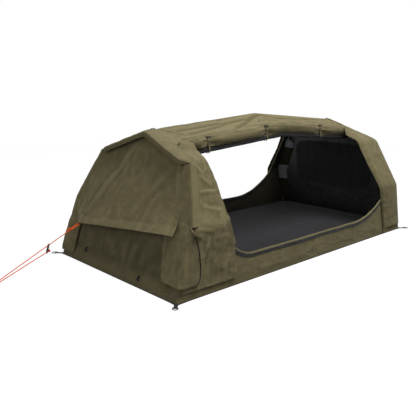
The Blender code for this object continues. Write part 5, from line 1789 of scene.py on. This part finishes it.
class SWAG_OT_corner_sleeves(Operator):
    """Loose canvas sleeves round the legs of the foot hoop"""
    bl_idname = "swag.corner_sleeves"
    bl_label = "Corner sleeves"

    def execute(self, context):
        cell = cloth_settings().cell * 0.75
        for label, side in SIDES.items():
            runs = spread(run_at_height(sleeve_hem[label]), run_at_height(sleeve_top[label]), cell)
            share = (runs - runs[0]) / np.ptp(runs)
            point = section_at(runs)[0]
            width, height = point[:, 0], point[:, 1]
            inner = sleeve_inner_hem[label] + (sleeve_inner_top[label] - sleeve_inner_hem[label]) * share
            wall_x = hoop_x(FOOT, height)
            reach = np.interp(share, sleeve_edge_shares, sleeve_edges[label])
            rise = sleeve_lift * np.interp(share, sleeve_edge_shares, sleeve_lift_shares[label])
            spot = stacked(height, 0 * height, 0 * height + side)
            inner = inner + noise(spot, 0.055, 95) * 0.008
            cut, reach = np.minimum(reach - 0.012, 0), np.maximum(reach, 0.012)
            posts = [end_plane(FOOT, side * inner, height, awning_seam_lift),
                     end_plane(FOOT, side * (inner + width) / 2, height, rise * 0.6),
                     end_plane(FOOT, side * (width - sleeve_lift), height, rise),
                     skin(side, wall_x - rise * 0.7, runs, rise * 0.7),
                     skin(side, wall_x + reach * 0.12, runs, rise),
                     skin(side, wall_x + sleeve_lift * 0.5 + reach / 2, runs, rise),
                     skin(side, wall_x + sleeve_lift * np.minimum(1, reach / 0.02) + reach, runs, rise)]
            grid = cut_rows(through(np.stack(posts, axis=1), 9), cut)
            away = edge_lengths(grid)
            heart = (float(hoop_x(FOOT, 0.2)) + 0.15, side * 0.35, 0.2)
            wavy = ridged_noise(grid, (0.055, 0.055, 0.16), 91) * 0.0036
            wavy = wavy + layered_noise(grid, (0.10, 0.10, 0.20), 93) * 0.0050
            frill = np.sin(away["low"] / 0.012) * 0.0026 * np.exp(-away["left"] / 0.02)
            depth = (wavy + 0.004) * smooth(away["left"] / 0.012) + frill * smooth(away["left"] / 0.002 + 0.3)
            depth = np.maximum(depth, 0) * smooth(away["high"] / 0.05) * cloth_settings().fold_share
            depth = depth + hem(away["low"], 0.012, 0.0006)
            depth = depth + hem(away["right"], 0.010, 0.0006)
            node = f"{label}_corner_sleeve"
            shaped = panel(f"canvas_sleeve_{label}", node, grid, flap_cloth, depth, heart=heart)
            sew(shaped, heart, left=(0.0045,), right=(0.0060,), low=(0.0040,))
            shown = share < band_places[-1]
            normals = grid_normals(shaped, heart)[shown, -1:]
            outward = unit(shaped[shown, -1:] - shaped[shown, -4:-3])
            wide = 0.010 + 0.024 * np.interp(share, band_places, band_shares)[shown, None, None]
            # The facing is a black strip that stands in as painted shade for the shadowed slit at the
            # sleeve's edge
            for name, finish, steps, high in (("facing", "webbing", (-0.004, 0.0105), -band_thick),
                                              ("band", "binding", (band_start, 0.5, 1.0), band_thick)):
                steps = np.array(steps)[:, None]
                reach = np.where(steps < band_fold, steps, band_start + (wide - band_start) * steps)
                rise = high - 0.10 * np.maximum(reach - band_fold, 0)
                sheet = shaped[shown, -1:] + outward * reach + normals * rise
                made = closed_cloth(f"sleeve_{name}_{label}", sheet, sheet - normals * band_thick, finish)
                declare(made, node)
            path = sheet[:, 0] - normals[:, 0] * stitch_lift
            piping = lofted(f"sleeve_piping_{label}", sweep(path, piping_radius, 8), "binding", 60)
            declare(piping, node)
            stitch_lines.append(sheet[:, 1] + normals[:, 0] * stitch_lift)
            leg_wrap(label, side, heart)
        return {"FINISHED"}


leg_wrap_side = ((-0.0045, 0.0080), (0.012, 0.0085), (0.026, 0.0070), (0.042, 0.0058))


def leg_wrap(label, side, heart):
    """Cloth that laps round a leg of the foot hoop, between its sleeve and the brim."""
    runs = spread(run_at_height(sleeve_top[label] - 0.032), run_at_height(shoulder_height - 0.012),
                  cloth_settings().cell * 0.75)
    point = section_at(runs)[0]
    width, height = point[:, 0], point[:, 1]
    inner = np.interp(height, (0.300, 0.640), (0.375, 0.270) if side == FRONT else (0.480, 0.350))
    wall_x = hoop_x(FOOT, height)
    across = ((inner, 0.0012), ((inner + width) / 2, 0.0055), (width - 0.014, 0.0090))
    posts = [end_plane(FOOT, side * place, height, lift) for place, lift in across]
    posts += [skin(side, wall_x + shift, runs, lift) for shift, lift in leg_wrap_side]
    grid = through(np.stack(posts, axis=1), 7)
    away = edge_lengths(grid)
    wavy = ridged_noise(grid, (0.05, 0.05, 0.15), 141) * 0.0022
    wavy = wavy + layered_noise(grid, (0.08, 0.08, 0.14), 143) * 0.0030
    depth = (wavy + 0.002) * smooth(away["right"] / 0.02) * smooth(away["left"] / 0.03)
    depth = depth * cloth_settings().fold_share + hem(away["low"], 0.010, 0.0006)
    shaped = panel(f"canvas_leg_{label}", None, grid, flap_cloth * 0.6, depth, heart=heart)
    sew(shaped, heart, low=(0.0040,), right=(0.0040,))


# Rolled doors

def gathers(x, angle):
    """Share by which a roll's skin stands in or out: pleats beside its ties, long soft folds."""
    pleats = 0
    for tie in tie_x_places.values():
        away = np.abs(x - tie)
        near = np.exp(-((away - 0.020) / 0.052) ** 2) * smooth(away / 0.018)
        pleats = pleats + near * np.sin(angle * 6 + 2.3 * tie + np.sign(x - tie) + away * 14) * 0.150
        pleats = pleats + near * np.sin(angle * 11 + 5.1 * tie - away * 20) * 0.075
    spot = stacked(x + 0 * angle, np.cos(angle) + 0 * x, np.sin(angle) + 0 * x)
    slack = layered_noise(spot, (0.15, 0.50, 0.50), 101) * 0.110
    slack = slack + ridged_noise(spot, (0.09, 0.35, 0.35), 103) * 0.065
    away = np.min([np.abs(x - tie) for tie in tie_x_places.values()], axis=0)
    return (pleats + (slack - 0.03) * smooth(away / 0.03)) * cloth_settings().fold_share


def spiral_sheet(name, node, side, centres, radii, turns, core, wall, finish, pleated):
    """A door rolled up as one long spiral, its outer end at the roof seam."""
    start, stop = roll_start_x, roll_end_x
    if pleated:
        start, stop = start - roll_tuck["foot"], stop + roll_tuck["head"]
    x = spread(start, stop, 0.0085 if pleated else 0.011)[:, None]
    angle = spread(0, turns * math.tau, math.tau / 22)[None]
    share = angle / (turns * math.tau)
    size = roll_size(x) if pleated else 1 - 0.10 * (1 - pinch(x)) / pinch_share
    turned = math.radians(175) - angle
    reach = (1 - (1 - core) * share) * (1 + gathers(x, turned % math.tau) * (1.0 if pleated else 0.6))
    hang = np.sin(turned)
    tall = np.where(hang < 0, roll_hang, size) if pleated else size
    middle = centres(x[:, 0])[:, None]
    across = middle[..., 0] + radii[0] * reach * size * np.cos(turned)
    height = middle[..., 1] + radii[1] * reach * tall * hang
    ragged = noise(stacked(angle[0] / 4, 0 * angle[0], 0 * angle[0]), 1, 7) * 0.006
    ends = (x - (start + stop) / 2) / ((stop - start) / 2)
    along = x + ragged * ends ** 15 - 0.006 * ends ** 15
    grid = stacked(along, side * across, height)
    heart = stacked(x + 0 * middle[..., 0], side * middle[..., 0], middle[..., 1])
    # Pleat crests and valleys, which the canvas finish paints as highlight and shade
    relief = np.clip(gathers(x, turned % math.tau) * 12, -1, 1) + 0 * share
    made = closed_cloth(name, grid, lifted(grid, -wall, heart), finish, relief=relief)
    declare(made, node)


class SWAG_OT_door_rolls(Operator):
    """Canvas doors and insect nets, each rolled up to the roof"""
    bl_idname = "swag.door_rolls"
    bl_label = "Rolled doors"

    def execute(self, context):
        for label, side in SIDES.items():
            spiral_sheet(f"canvas_roll_{label}", f"{label}_canvas_door_roll", side, roll_centre,
                         (roll_half_depth * 0.945, roll_half_height), turns=8, core=0.12, wall=0.0010,
                         finish="canvas", pleated=True)
            spiral_sheet(f"net_roll_{label}", f"{label}_net_door_roll", side, net_roll_centre,
                         (net_roll_radius * net_roll_share,) * 2, turns=12, core=0.20, wall=0.0004,
                         finish="net", pleated=False)
        return {"FINISHED"}


def tie_path(x):
    """Flat path of a tie, seen along the roll with outwards as +x."""
    top, low, size = roll_centre(x), net_roll_centre(x), roll_size(x)
    over = arc(top, roll_half_depth * size + tie_gap, roll_half_height * size + tie_gap, 105, -20, 20)
    reach = net_roll_radius * net_roll_share + tie_gap
    under = arc(low, reach, reach, 20, -200, 26)
    width = roof_half_width - tie_width
    seam = np.array((width, float(ridge_height(x)) - roof_fall * roof_half_width * round_share(width)))
    below = seam - (0, canvas * math.hypot(1, roof_fall) + 2 * gap)
    return np.vstack([seam + (0, 2 * gap), over, under, below])


tie_band = 0.0095
toggle_profile = ((-1, 0.35), (-0.985, 0.62), (-0.95, 0.85), (-0.88, 0.98), (-0.78, 1),
                  (-0.6, 0.97), (-0.45, 0.84), (-0.3, 0.73), (0, 0.70))


class SWAG_OT_ties(Operator):
    """Straps and toggles that hold the rolls"""
    bl_idname = "swag.ties"
    bl_label = "Ties and toggles"

    def execute(self, context):
        half = np.array(toggle_profile)
        profile = np.vstack([half, (half[:-1] * (-1, 1))[::-1]])
        for label, side in SIDES.items():
            for place, x in tie_x_places.items():
                axes = (Y_AXIS * side, Z_AXIS, X_AXIS)
                piece = strap(f"tie_strap_{label}_{place}", tie_path(x), tie_thick, tie_band, axes,
                              np.array((x, 0, 0)), "canvas")
                declare(piece, f"{label}_{place}_roll_tie")
                size = float(roll_size(x))
                out = np.array((math.sin(toggle_angle), math.cos(toggle_angle)))
                centre = roll_centre(x) + out * (roll_half_depth, roll_half_height) * size
                centre = centre + out * (tie_gap * 1.5 + tie_thick + gap + toggle_radius)
                spot = np.array((x, side * centre[0], centre[1]))
                path = spot + X_AXIS * profile[:, :1] * toggle_length / 2
                rings = sweep(path, profile[:, 1] * toggle_radius, 20, Z_AXIS)
                knob = lofted(f"tie_toggle_{label}_{place}", rings, "plastic", 50)
                declare(knob, f"{label}_{place}_toggle", f"{label}_{place}_tie_toggle")
        return {"FINISHED"}


# Zips

def zip_line(step):
    """Even points of the door's edge as (x, run), with the direction away from the door."""
    top = float(run_at_width(flap_top_half_width))
    rise = spread(knee_run, top, step)
    low = spread(foot_margin_x, head_margin_x, step / 3)[1:-1]
    foot = stacked(margin_x(FOOT, rise), rise)[::-1]
    head = stacked(margin_x(HEAD, rise), rise)
    line = np.vstack([foot, stacked(low, door_edge_run(low)), head])
    line = resampled(line, int(np.linalg.norm(np.diff(line, axis=0), axis=1).sum() / step))
    tread = unit(np.gradient(line, axis=0))
    back = unit(stacked(blurred_line(tread[:, 1]), -blurred_line(tread[:, 0])))
    return line, back


def along_zip(side, line, back, profile):
    """Rings along the zip from (inset, lift) pairs."""
    profile = np.array(profile)
    flat = line[:, None] + back[:, None] * profile[:, :1]
    return skin(side, flat[..., 0], flat[..., 1], profile[:, 1])


coil_lines = {}
coil_inset = 0.0150
slider_places = {"canvas": head_margin_x - 0.435, "net": foot_margin_x + 0.345}


class SWAG_OT_zips(Operator):
    """Zip tapes folded over the doors' cut edges, with their binding and sliders"""
    bl_idname = "swag.zips"
    bl_label = "Zips and sliders"

    def execute(self, context):
        line, back = zip_line(0.008)
        deep = zip_edge + zip_width
        outer, inner = gap + zip_thick, -canvas - gap - zip_thick
        rise = binding_rise
        tape = ((deep, outer), (deep / 2, outer), (-rise, outer),
                (-rise, inner), (deep / 2, inner), (deep, inner), (deep, -canvas - gap),
                (-gap, -canvas - gap), (-gap, gap), (deep, gap))
        far, lip, thin = 0.0050, rise + 0.0011, 0.0010
        fold = ((far, outer + thin), (0.002, outer + thin * 1.5), (-lip, outer + thin * 0.7),
                (-lip, inner - thin * 0.7), (-rise, inner - thin * 1.2), (-0.0015, inner - thin),
                (-0.0015, inner - gap),
                (-rise - gap, inner - gap), (-rise - gap, outer + gap), (far, outer + gap))
        for label, side in SIDES.items():
            body = lofted(f"zip_tape_{label}", along_zip(side, line, back, tape), "zip tape", 40)
            declare(body, f"{label}_door_zip")
            edge = lofted(f"door_binding_{label}", along_zip(side, line, back, fold), "binding", 40)
            declare(edge, f"{label}_door_zip")
            stitch_lines.append(along_zip(side, line, back, ((0.0034, outer + thin + 0.0003),))[:, 0])
            stitch_lines.append(along_zip(side, line, back, ((deep - 0.003, outer + 0.0003),))[:, 0])
            coil_lines[label] = [along_zip(side, line, back, ((coil_inset, level),))[:, 0]
                                 for level in (outer, inner)]
            for kind, x in slider_places.items():
                zip_slider(label, side, kind, x)
        return {"FINISHED"}


# Size and place of a slider's two plates, its bridge and its pull
slider_blocks = (
    ((0.012, 0.0085, 0.0018), (0, 0, 0.0010)), ((0.010, 0.0105, 0.0014), (0, 0, 0.0026)),
    ((0.0026, 0.0060, 0.0016), (0, 0, 0.0040)), ((0.0055, 0.0230, 0.0014), (0, -0.0175, 0.0040)),
    ((0.0080, 0.0090, 0.0022), (0, -0.0255, 0.0040)))


def zip_slider(label, side, kind, x):
    """Slider with its bridge and hanging pull, on the straight part of the sill."""
    inside = kind == "net"
    run = float(run_at_height(sill_height)) - zip_edge - zip_width / 2
    face = -canvas - 2 * gap - zip_thick if inside else 2 * gap + zip_thick
    spot = skin(side, x, run, face)
    up = unit(skin(side, x, run + 0.01, face) - skin(side, x, run - 0.01, face))
    out = unit(np.cross(up, X_AXIS))
    if (out[1] * side > 0) == inside:
        out = -out
    turn = Matrix(np.array((X_AXIS, up, out)).T.tolist()).to_4x4()
    pieces = []
    for size, place in slider_blocks:
        shift = turn.to_3x3() @ Vector(place) + Vector(spot)
        pieces.append(block("slider_block", size, shift, turn, 0.0005, "plastic"))
    made = joined(f"zip_slider_{label}_{kind}", pieces)
    declare(made, f"{label}_{kind}_zip_slider", f"{label}_{kind}_slider")


# Poles, pole sleeve and rings

pole_sleeve_span = (0.078, 0.592)
pole_sleeve_depth = 0.020
pole_sleeve_width = 0.072


class SWAG_OT_poles(Operator):
    """Finish of the poles, and the banded cloth sleeve on one leg"""
    bl_idname = "swag.poles"
    bl_label = "Poles and sleeve"

    def execute(self, context):
        for end_label in ENDS:
            refinish(f"ridge_pole_{end_label}", "alloy")
            for label in SIDES:
                refinish(f"{end_label}_hoop_{label}", "alloy")
        path = [Vector(p) for p in inset_section(pole_inset)]
        flat = np.array([tuple(p) for p in bend(path, knee_bend, bend_steps)])
        heights = spread(*pole_sleeve_span, 0.010)
        spots = stacked(np.interp(heights, flat[:, 1], flat[:, 0]), heights)
        tread = unit(np.gradient(spots, axis=0))
        out = stacked(tread[:, 1], -tread[:, 0])
        turn = np.arange(40) * math.tau / 40
        bore = stacked(np.cos(turn), np.sin(turn))
        deep = np.where(bore[:, 0] < 0, -pole_sleeve_depth, cup_radius)
        wide = np.where(bore[:, 1] < 0, -pole_sleeve_width, cup_radius)
        cloth = stacked(np.abs(bore[:, 0]) * deep, np.abs(bore[:, 1]) * wide)
        layers = []
        for steps in (cloth, bore * (pole_radius + 2 * gap)):
            across = spots[:, None] + out[:, None] * steps[:, 1:]
            x = pole_x(HEAD, across[..., 1]) + steps[:, 0]
            layers.append(stacked(x, across[..., 0], across[..., 1]))
        sleeve = closed_cloth("pole_sleeve_cloth", *layers, "sleeve", wrap=True)
        declare(sleeve, "head_pole_sleeve")
        for end_label, end in ENDS.items():
            brim(end_label, end)
        return {"FINISHED"}


brim_profile = ((-0.034, -0.0046), (-0.010, -0.0054), (0.014, -0.0020), (0.034, 0.0045), (0.0385, 0.0085),
                (0.0400, 0.0170), (0.0405, 0.0330))


brim_notch = ((0.335, 0.386), (1, 0.12))


def brim(end_label, end):
    """Doubled canvas that laps over a hoop from the roof, with a notch at each shoulder."""
    runs = spread(run_at_height(shoulder_height - 0.004), float(section_run[-1]), 0.008)
    point = section_at(runs)[0]
    across, height = point[:, 0], point[:, 1].copy()
    over = across < roof_half_width
    height[over] = (apex_height - roof_fall * roof_half_width * round_share(across))[over]
    drop = np.interp(across, *brim_notch)
    reach = brim_reach[end_label] * drop
    posts = []
    for out, fall in brim_profile:
        share = 1 if out < 0 else reach
        x = hoop_x(end, height) + end * out * share
        posts.append(stacked(x, -across, height - fall * share))
    half = np.stack(posts, axis=1)
    grid = through(np.concatenate([half, half[-2::-1] * (1, -1, 1)]), 6)
    away = edge_lengths(grid)
    slack = layered_noise(grid, (0.10, 0.09, 0.09), 131) * 0.0028 + ridged_noise(grid, 0.045, 133) * 0.0012
    depth = (slack + 0.001) * smooth((away["left"] - 0.012) / 0.02) * cloth_settings().fold_share
    depth = depth + hem(away["right"], 0.012, 0.0006)
    shaped = panel(f"canvas_brim_{end_label}", None, grid, flap_cloth, depth, heart=foot_heart)
    sew(shaped, foot_heart, right=(0.0045,))


class SWAG_OT_rings(Operator):
    """Steel rings in the corner webbing"""
    bl_idname = "swag.rings"
    bl_label = "Corner rings"

    def execute(self, context):
        half, depth = 0.0145, 0.024
        bow = arc((0, 0), depth, half, -80, 80, 28)
        ends = half - ring_wire
        bar = np.array((0, -ends)) + np.array((0, 2 * ends)) * np.linspace(0, 1, 6)[:, None]
        flat = np.vstack([bar, bow[::-1]])
        for end_label, end in ENDS.items():
            for label, side in SIDES.items():
                corner, out, over = corner_frame(end, side)
                centre = corner + out * webbing_reach + Z_AXIS * eye_height
                path = centre + flat[:, :1] * out + flat[:, 1:] * over
                ring = lofted(f"d_ring_{label}_{end_label}", sweep(path, ring_wire, 12, closed=True),
                              "steel", 60, caps=False)
                declare(ring, f"{label}_{end_label}_ring", f"{label}_{end_label}_d_ring")
        return {"FINISHED"}


# Stitches and zip coils, as instances along lines

def line_mesh(name, lines):
    """A mesh of loose edges along several lines."""
    points, edges = [], []
    for line in lines:
        first = len(points)
        points += [tuple(p) for p in np.asarray(line).tolist()]
        edges += [(k, k + 1) for k in range(first, len(points) - 1)]
    mesh = bpy.data.meshes.new(name)
    mesh.from_pydata(points, edges, [])
    return mesh


def bead_tree():
    """Geometry nodes: short rounded beads at an even pitch along every line."""
    tree = bpy.data.node_groups.new("beads along lines", "GeometryNodeTree")
    kinds = {"Lines": "Geometry", "Pitch": "Float", "Length": "Float", "Width": "Float", "Height": "Float",
             "Material": "Material"}
    for name, kind in kinds.items():
        tree.interface.new_socket(name, in_out="INPUT", socket_type="NodeSocket" + kind)
    tree.interface.new_socket("Beads", in_out="OUTPUT", socket_type="NodeSocketGeometry")
    graph = Graph(tree)
    given = graph.node("NodeGroupInput").outputs
    curve = graph.node("GeometryNodeMeshToCurve", {"Mesh": given["Lines"]}).outputs[0]
    points = graph.node("GeometryNodeCurveToPoints", {"Curve": curve, "Length": given["Pitch"]},
                        mode="LENGTH").outputs
    bead = graph.node("GeometryNodeMeshUVSphere", {"Segments": 6, "Rings": 4, "Radius": 0.5}).outputs["Mesh"]
    size = {"X": given["Width"], "Y": given["Height"], "Z": given["Length"]}
    shape = graph.node("GeometryNodeInstanceOnPoints", {
        "Points": points["Points"], "Rotation": points["Rotation"], "Instance": bead,
        "Scale": graph.node("ShaderNodeCombineXYZ", size).outputs[0]}).outputs[0]
    for kind in ("GeometryNodeRealizeInstances", "GeometryNodeSetShadeSmooth"):
        shape = graph.node(kind, {"Geometry": shape}).outputs[0]
    paint = {"Geometry": shape, "Material": given["Material"]}
    graph.node("NodeGroupOutput", {"Beads": graph.node("GeometryNodeSetMaterial", paint).outputs[0]})
    return tree


def beads(name, tree, lines, look, **sizes):
    """One plain mesh of beads along lines."""
    made = new_object(name, line_mesh(name, lines))
    modifier = made.modifiers.new("beads", "NODES")
    modifier.node_group = tree
    given = {"Material": finishes[look], **sizes}
    for item in tree.interface.items_tree:
        if item.name in given:
            modifier[item.identifier] = given[item.name]
    made.data = evaluated_mesh(made)
    made.modifiers.clear()
    declare(made, None)


lines_per_piece = 14


class SWAG_OT_stitches(Operator):
    """Stitches along the seams, and the coils of the zips"""
    bl_idname = "swag.stitches"
    bl_label = "Stitches and zip coils"

    def execute(self, context):
        settings = cloth_settings()
        tree = bead_tree()
        for k in range(0, len(stitch_lines), lines_per_piece):
            lines = stitch_lines[k:k + lines_per_piece]
            beads("stitches_%02d" % (k // lines_per_piece), tree, lines, "thread",
                  Pitch=settings.stitch_pitch, Length=settings.stitch_length,
                  Width=settings.thread_width, Height=settings.thread_width)
        for label, lines in coil_lines.items():
            beads(f"zip_coil_{label}", tree, lines, "coil", Pitch=settings.coil_pitch,
                  Length=settings.coil_pitch * 0.8, Width=settings.coil_width, Height=settings.coil_width)
        return {"FINISHED"}


# Stage

def seen_directly(graph):
    """1 for what the camera sees, also in metal or through glass."""
    path = graph.node("ShaderNodeLightPath")
    seen = graph.math("MAXIMUM", path.outputs["Is Camera Ray"], path.outputs["Is Glossy Ray"])
    return graph.math("MAXIMUM", seen, path.outputs["Is Transmission Ray"])


def white_surroundings(strength):
    """Even light that the camera and mirror-like surfaces see as plain white."""
    world = bpy.data.worlds.new("even light")
    bpy.context.scene.world = world
    world.use_nodes = True
    graph = Graph(world.node_tree)
    ground = world.node_tree.nodes["Background"]
    ground.inputs["Color"].default_value = (1, 1, 1, 1)
    graph.feed(ground.inputs["Strength"], graph.spread(seen_directly(graph), 0, 1, strength, 1.0))


def white_floor(size):
    """Pale floor that stays white and keeps the object's shadow."""
    half = size / 2
    mesh = bpy.data.meshes.new("floor")
    corners = [(-half, -half, 0), (half, -half, 0), (half, half, 0), (-half, half, 0)]
    mesh.from_pydata(corners, [], [(0, 1, 2, 3)])
    shade, glow = 0.13, 0.935
    pale = Finish("pale floor", 0.9, Base_Color=rgb((shade, shade, shade)), Specular_IOR_Level=0,
                  Emission_Color=(1, 1, 1, 1))
    pale.feed(pale.shader["Emission Strength"], pale.math("MULTIPLY", seen_directly(pale), glow))
    mesh.materials.append(pale.material)
    floor = new_object("floor", mesh)
    floor.location.z = -0.0005


def area_light(name, place, aim, size, power):
    """A soft square light turned towards a point."""
    data = bpy.data.lights.new(name, "AREA")
    data.size = size
    data.energy = power
    light = bpy.data.objects.new(name, data)
    bpy.context.scene.collection.objects.link(light)
    light.location = place
    light.rotation_euler = (Vector(place) - Vector(aim)).to_track_quat("Z", "Y").to_euler()


class SWAG_OT_stage(Operator):
    """Camera, floor, lights and finishes"""
    bl_idname = "swag.stage"
    bl_label = "Stage"

    def execute(self, context):
        scene = context.scene
        stage = scene.swag_stage
        build_materials(scene.swag_colours)
        scene.view_settings.view_transform = "Standard"
        heading, dip, roll = stage.heading, stage.dip, stage.roll
        right = Vector((math.sin(heading), -math.cos(heading), 0))
        ahead = Vector((math.cos(heading) * math.cos(dip), math.sin(heading) * math.cos(dip), -math.sin(dip)))
        over = right.cross(ahead)
        across = right * math.cos(roll) + over * math.sin(roll)
        up = over * math.cos(roll) - right * math.sin(roll)
        data = bpy.data.cameras.new("camera")
        data.lens = stage.lens
        data.sensor_width = 36
        camera = bpy.data.objects.new("camera", data)
        scene.collection.objects.link(camera)
        turn = Matrix((across, up, -ahead)).transposed().to_4x4()
        camera.matrix_world = Matrix.Translation(stage.camera_place) @ turn
        scene.camera = camera
        white_surroundings(stage.sky)
        white_floor(stage.floor_size)
        area_light("key", (0.3, -2.1, 5.1), (0, 0, 0.3), 2.4, stage.key_power)
        area_light("fill", (-4.0, -0.6, 1.6), (-1, 0, 0.4), 2.0, stage.fill_power)
        return {"FINISHED"}


# The add-on

builders = (SWAG_OT_stage, SWAG_OT_guy_line, SWAG_OT_ground_sheet, SWAG_OT_mattress, SWAG_OT_side_walls,
            SWAG_OT_quarters, SWAG_OT_storm_flaps, SWAG_OT_roof, SWAG_OT_end_walls, SWAG_OT_awning,
            SWAG_OT_corner_sleeves, SWAG_OT_door_rolls, SWAG_OT_ties, SWAG_OT_zips, SWAG_OT_poles,
            SWAG_OT_rings, SWAG_OT_stitches)


class SWAG_PT_tools(Panel):
    """Buttons for the stage and each group of pieces"""
    bl_idname = "SWAG_PT_tools"
    bl_label = "Swag Bedroll"
    bl_space_type = "VIEW_3D"
    bl_region_type = "UI"
    bl_category = "Swag"

    def draw(self, context):
        scene = context.scene
        for settings in (scene.swag_cloth, scene.swag_colours, scene.swag_mattress, scene.swag_stage):
            box = self.layout.box()
            for name in settings.__annotations__:
                box.prop(settings, name)
        for builder in builders:
            self.layout.operator(builder.bl_idname)


settings_groups = {"swag_cloth": SwagCloth, "swag_colours": SwagColours, "swag_mattress": SwagMattress,
                   "swag_stage": SwagStage}


def register():
    for kind in (*settings_groups.values(), *builders, SWAG_PT_tools):
        bpy.utils.register_class(kind)
    for name, kind in settings_groups.items():
        setattr(bpy.types.Scene, name, PointerProperty(type=kind))


def unregister():
    for name in settings_groups:
        delattr(bpy.types.Scene, name)
    for kind in (SWAG_PT_tools, *reversed(builders), *settings_groups.values()):
        bpy.utils.unregister_class(kind)


def main():
    register()
    for builder in builders:
        area, name = builder.bl_idname.split(".")
        getattr(getattr(bpy.ops, area), name)()
    bpy.context.view_layer.update()
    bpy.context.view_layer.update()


if __name__ == "__main__":
    main()
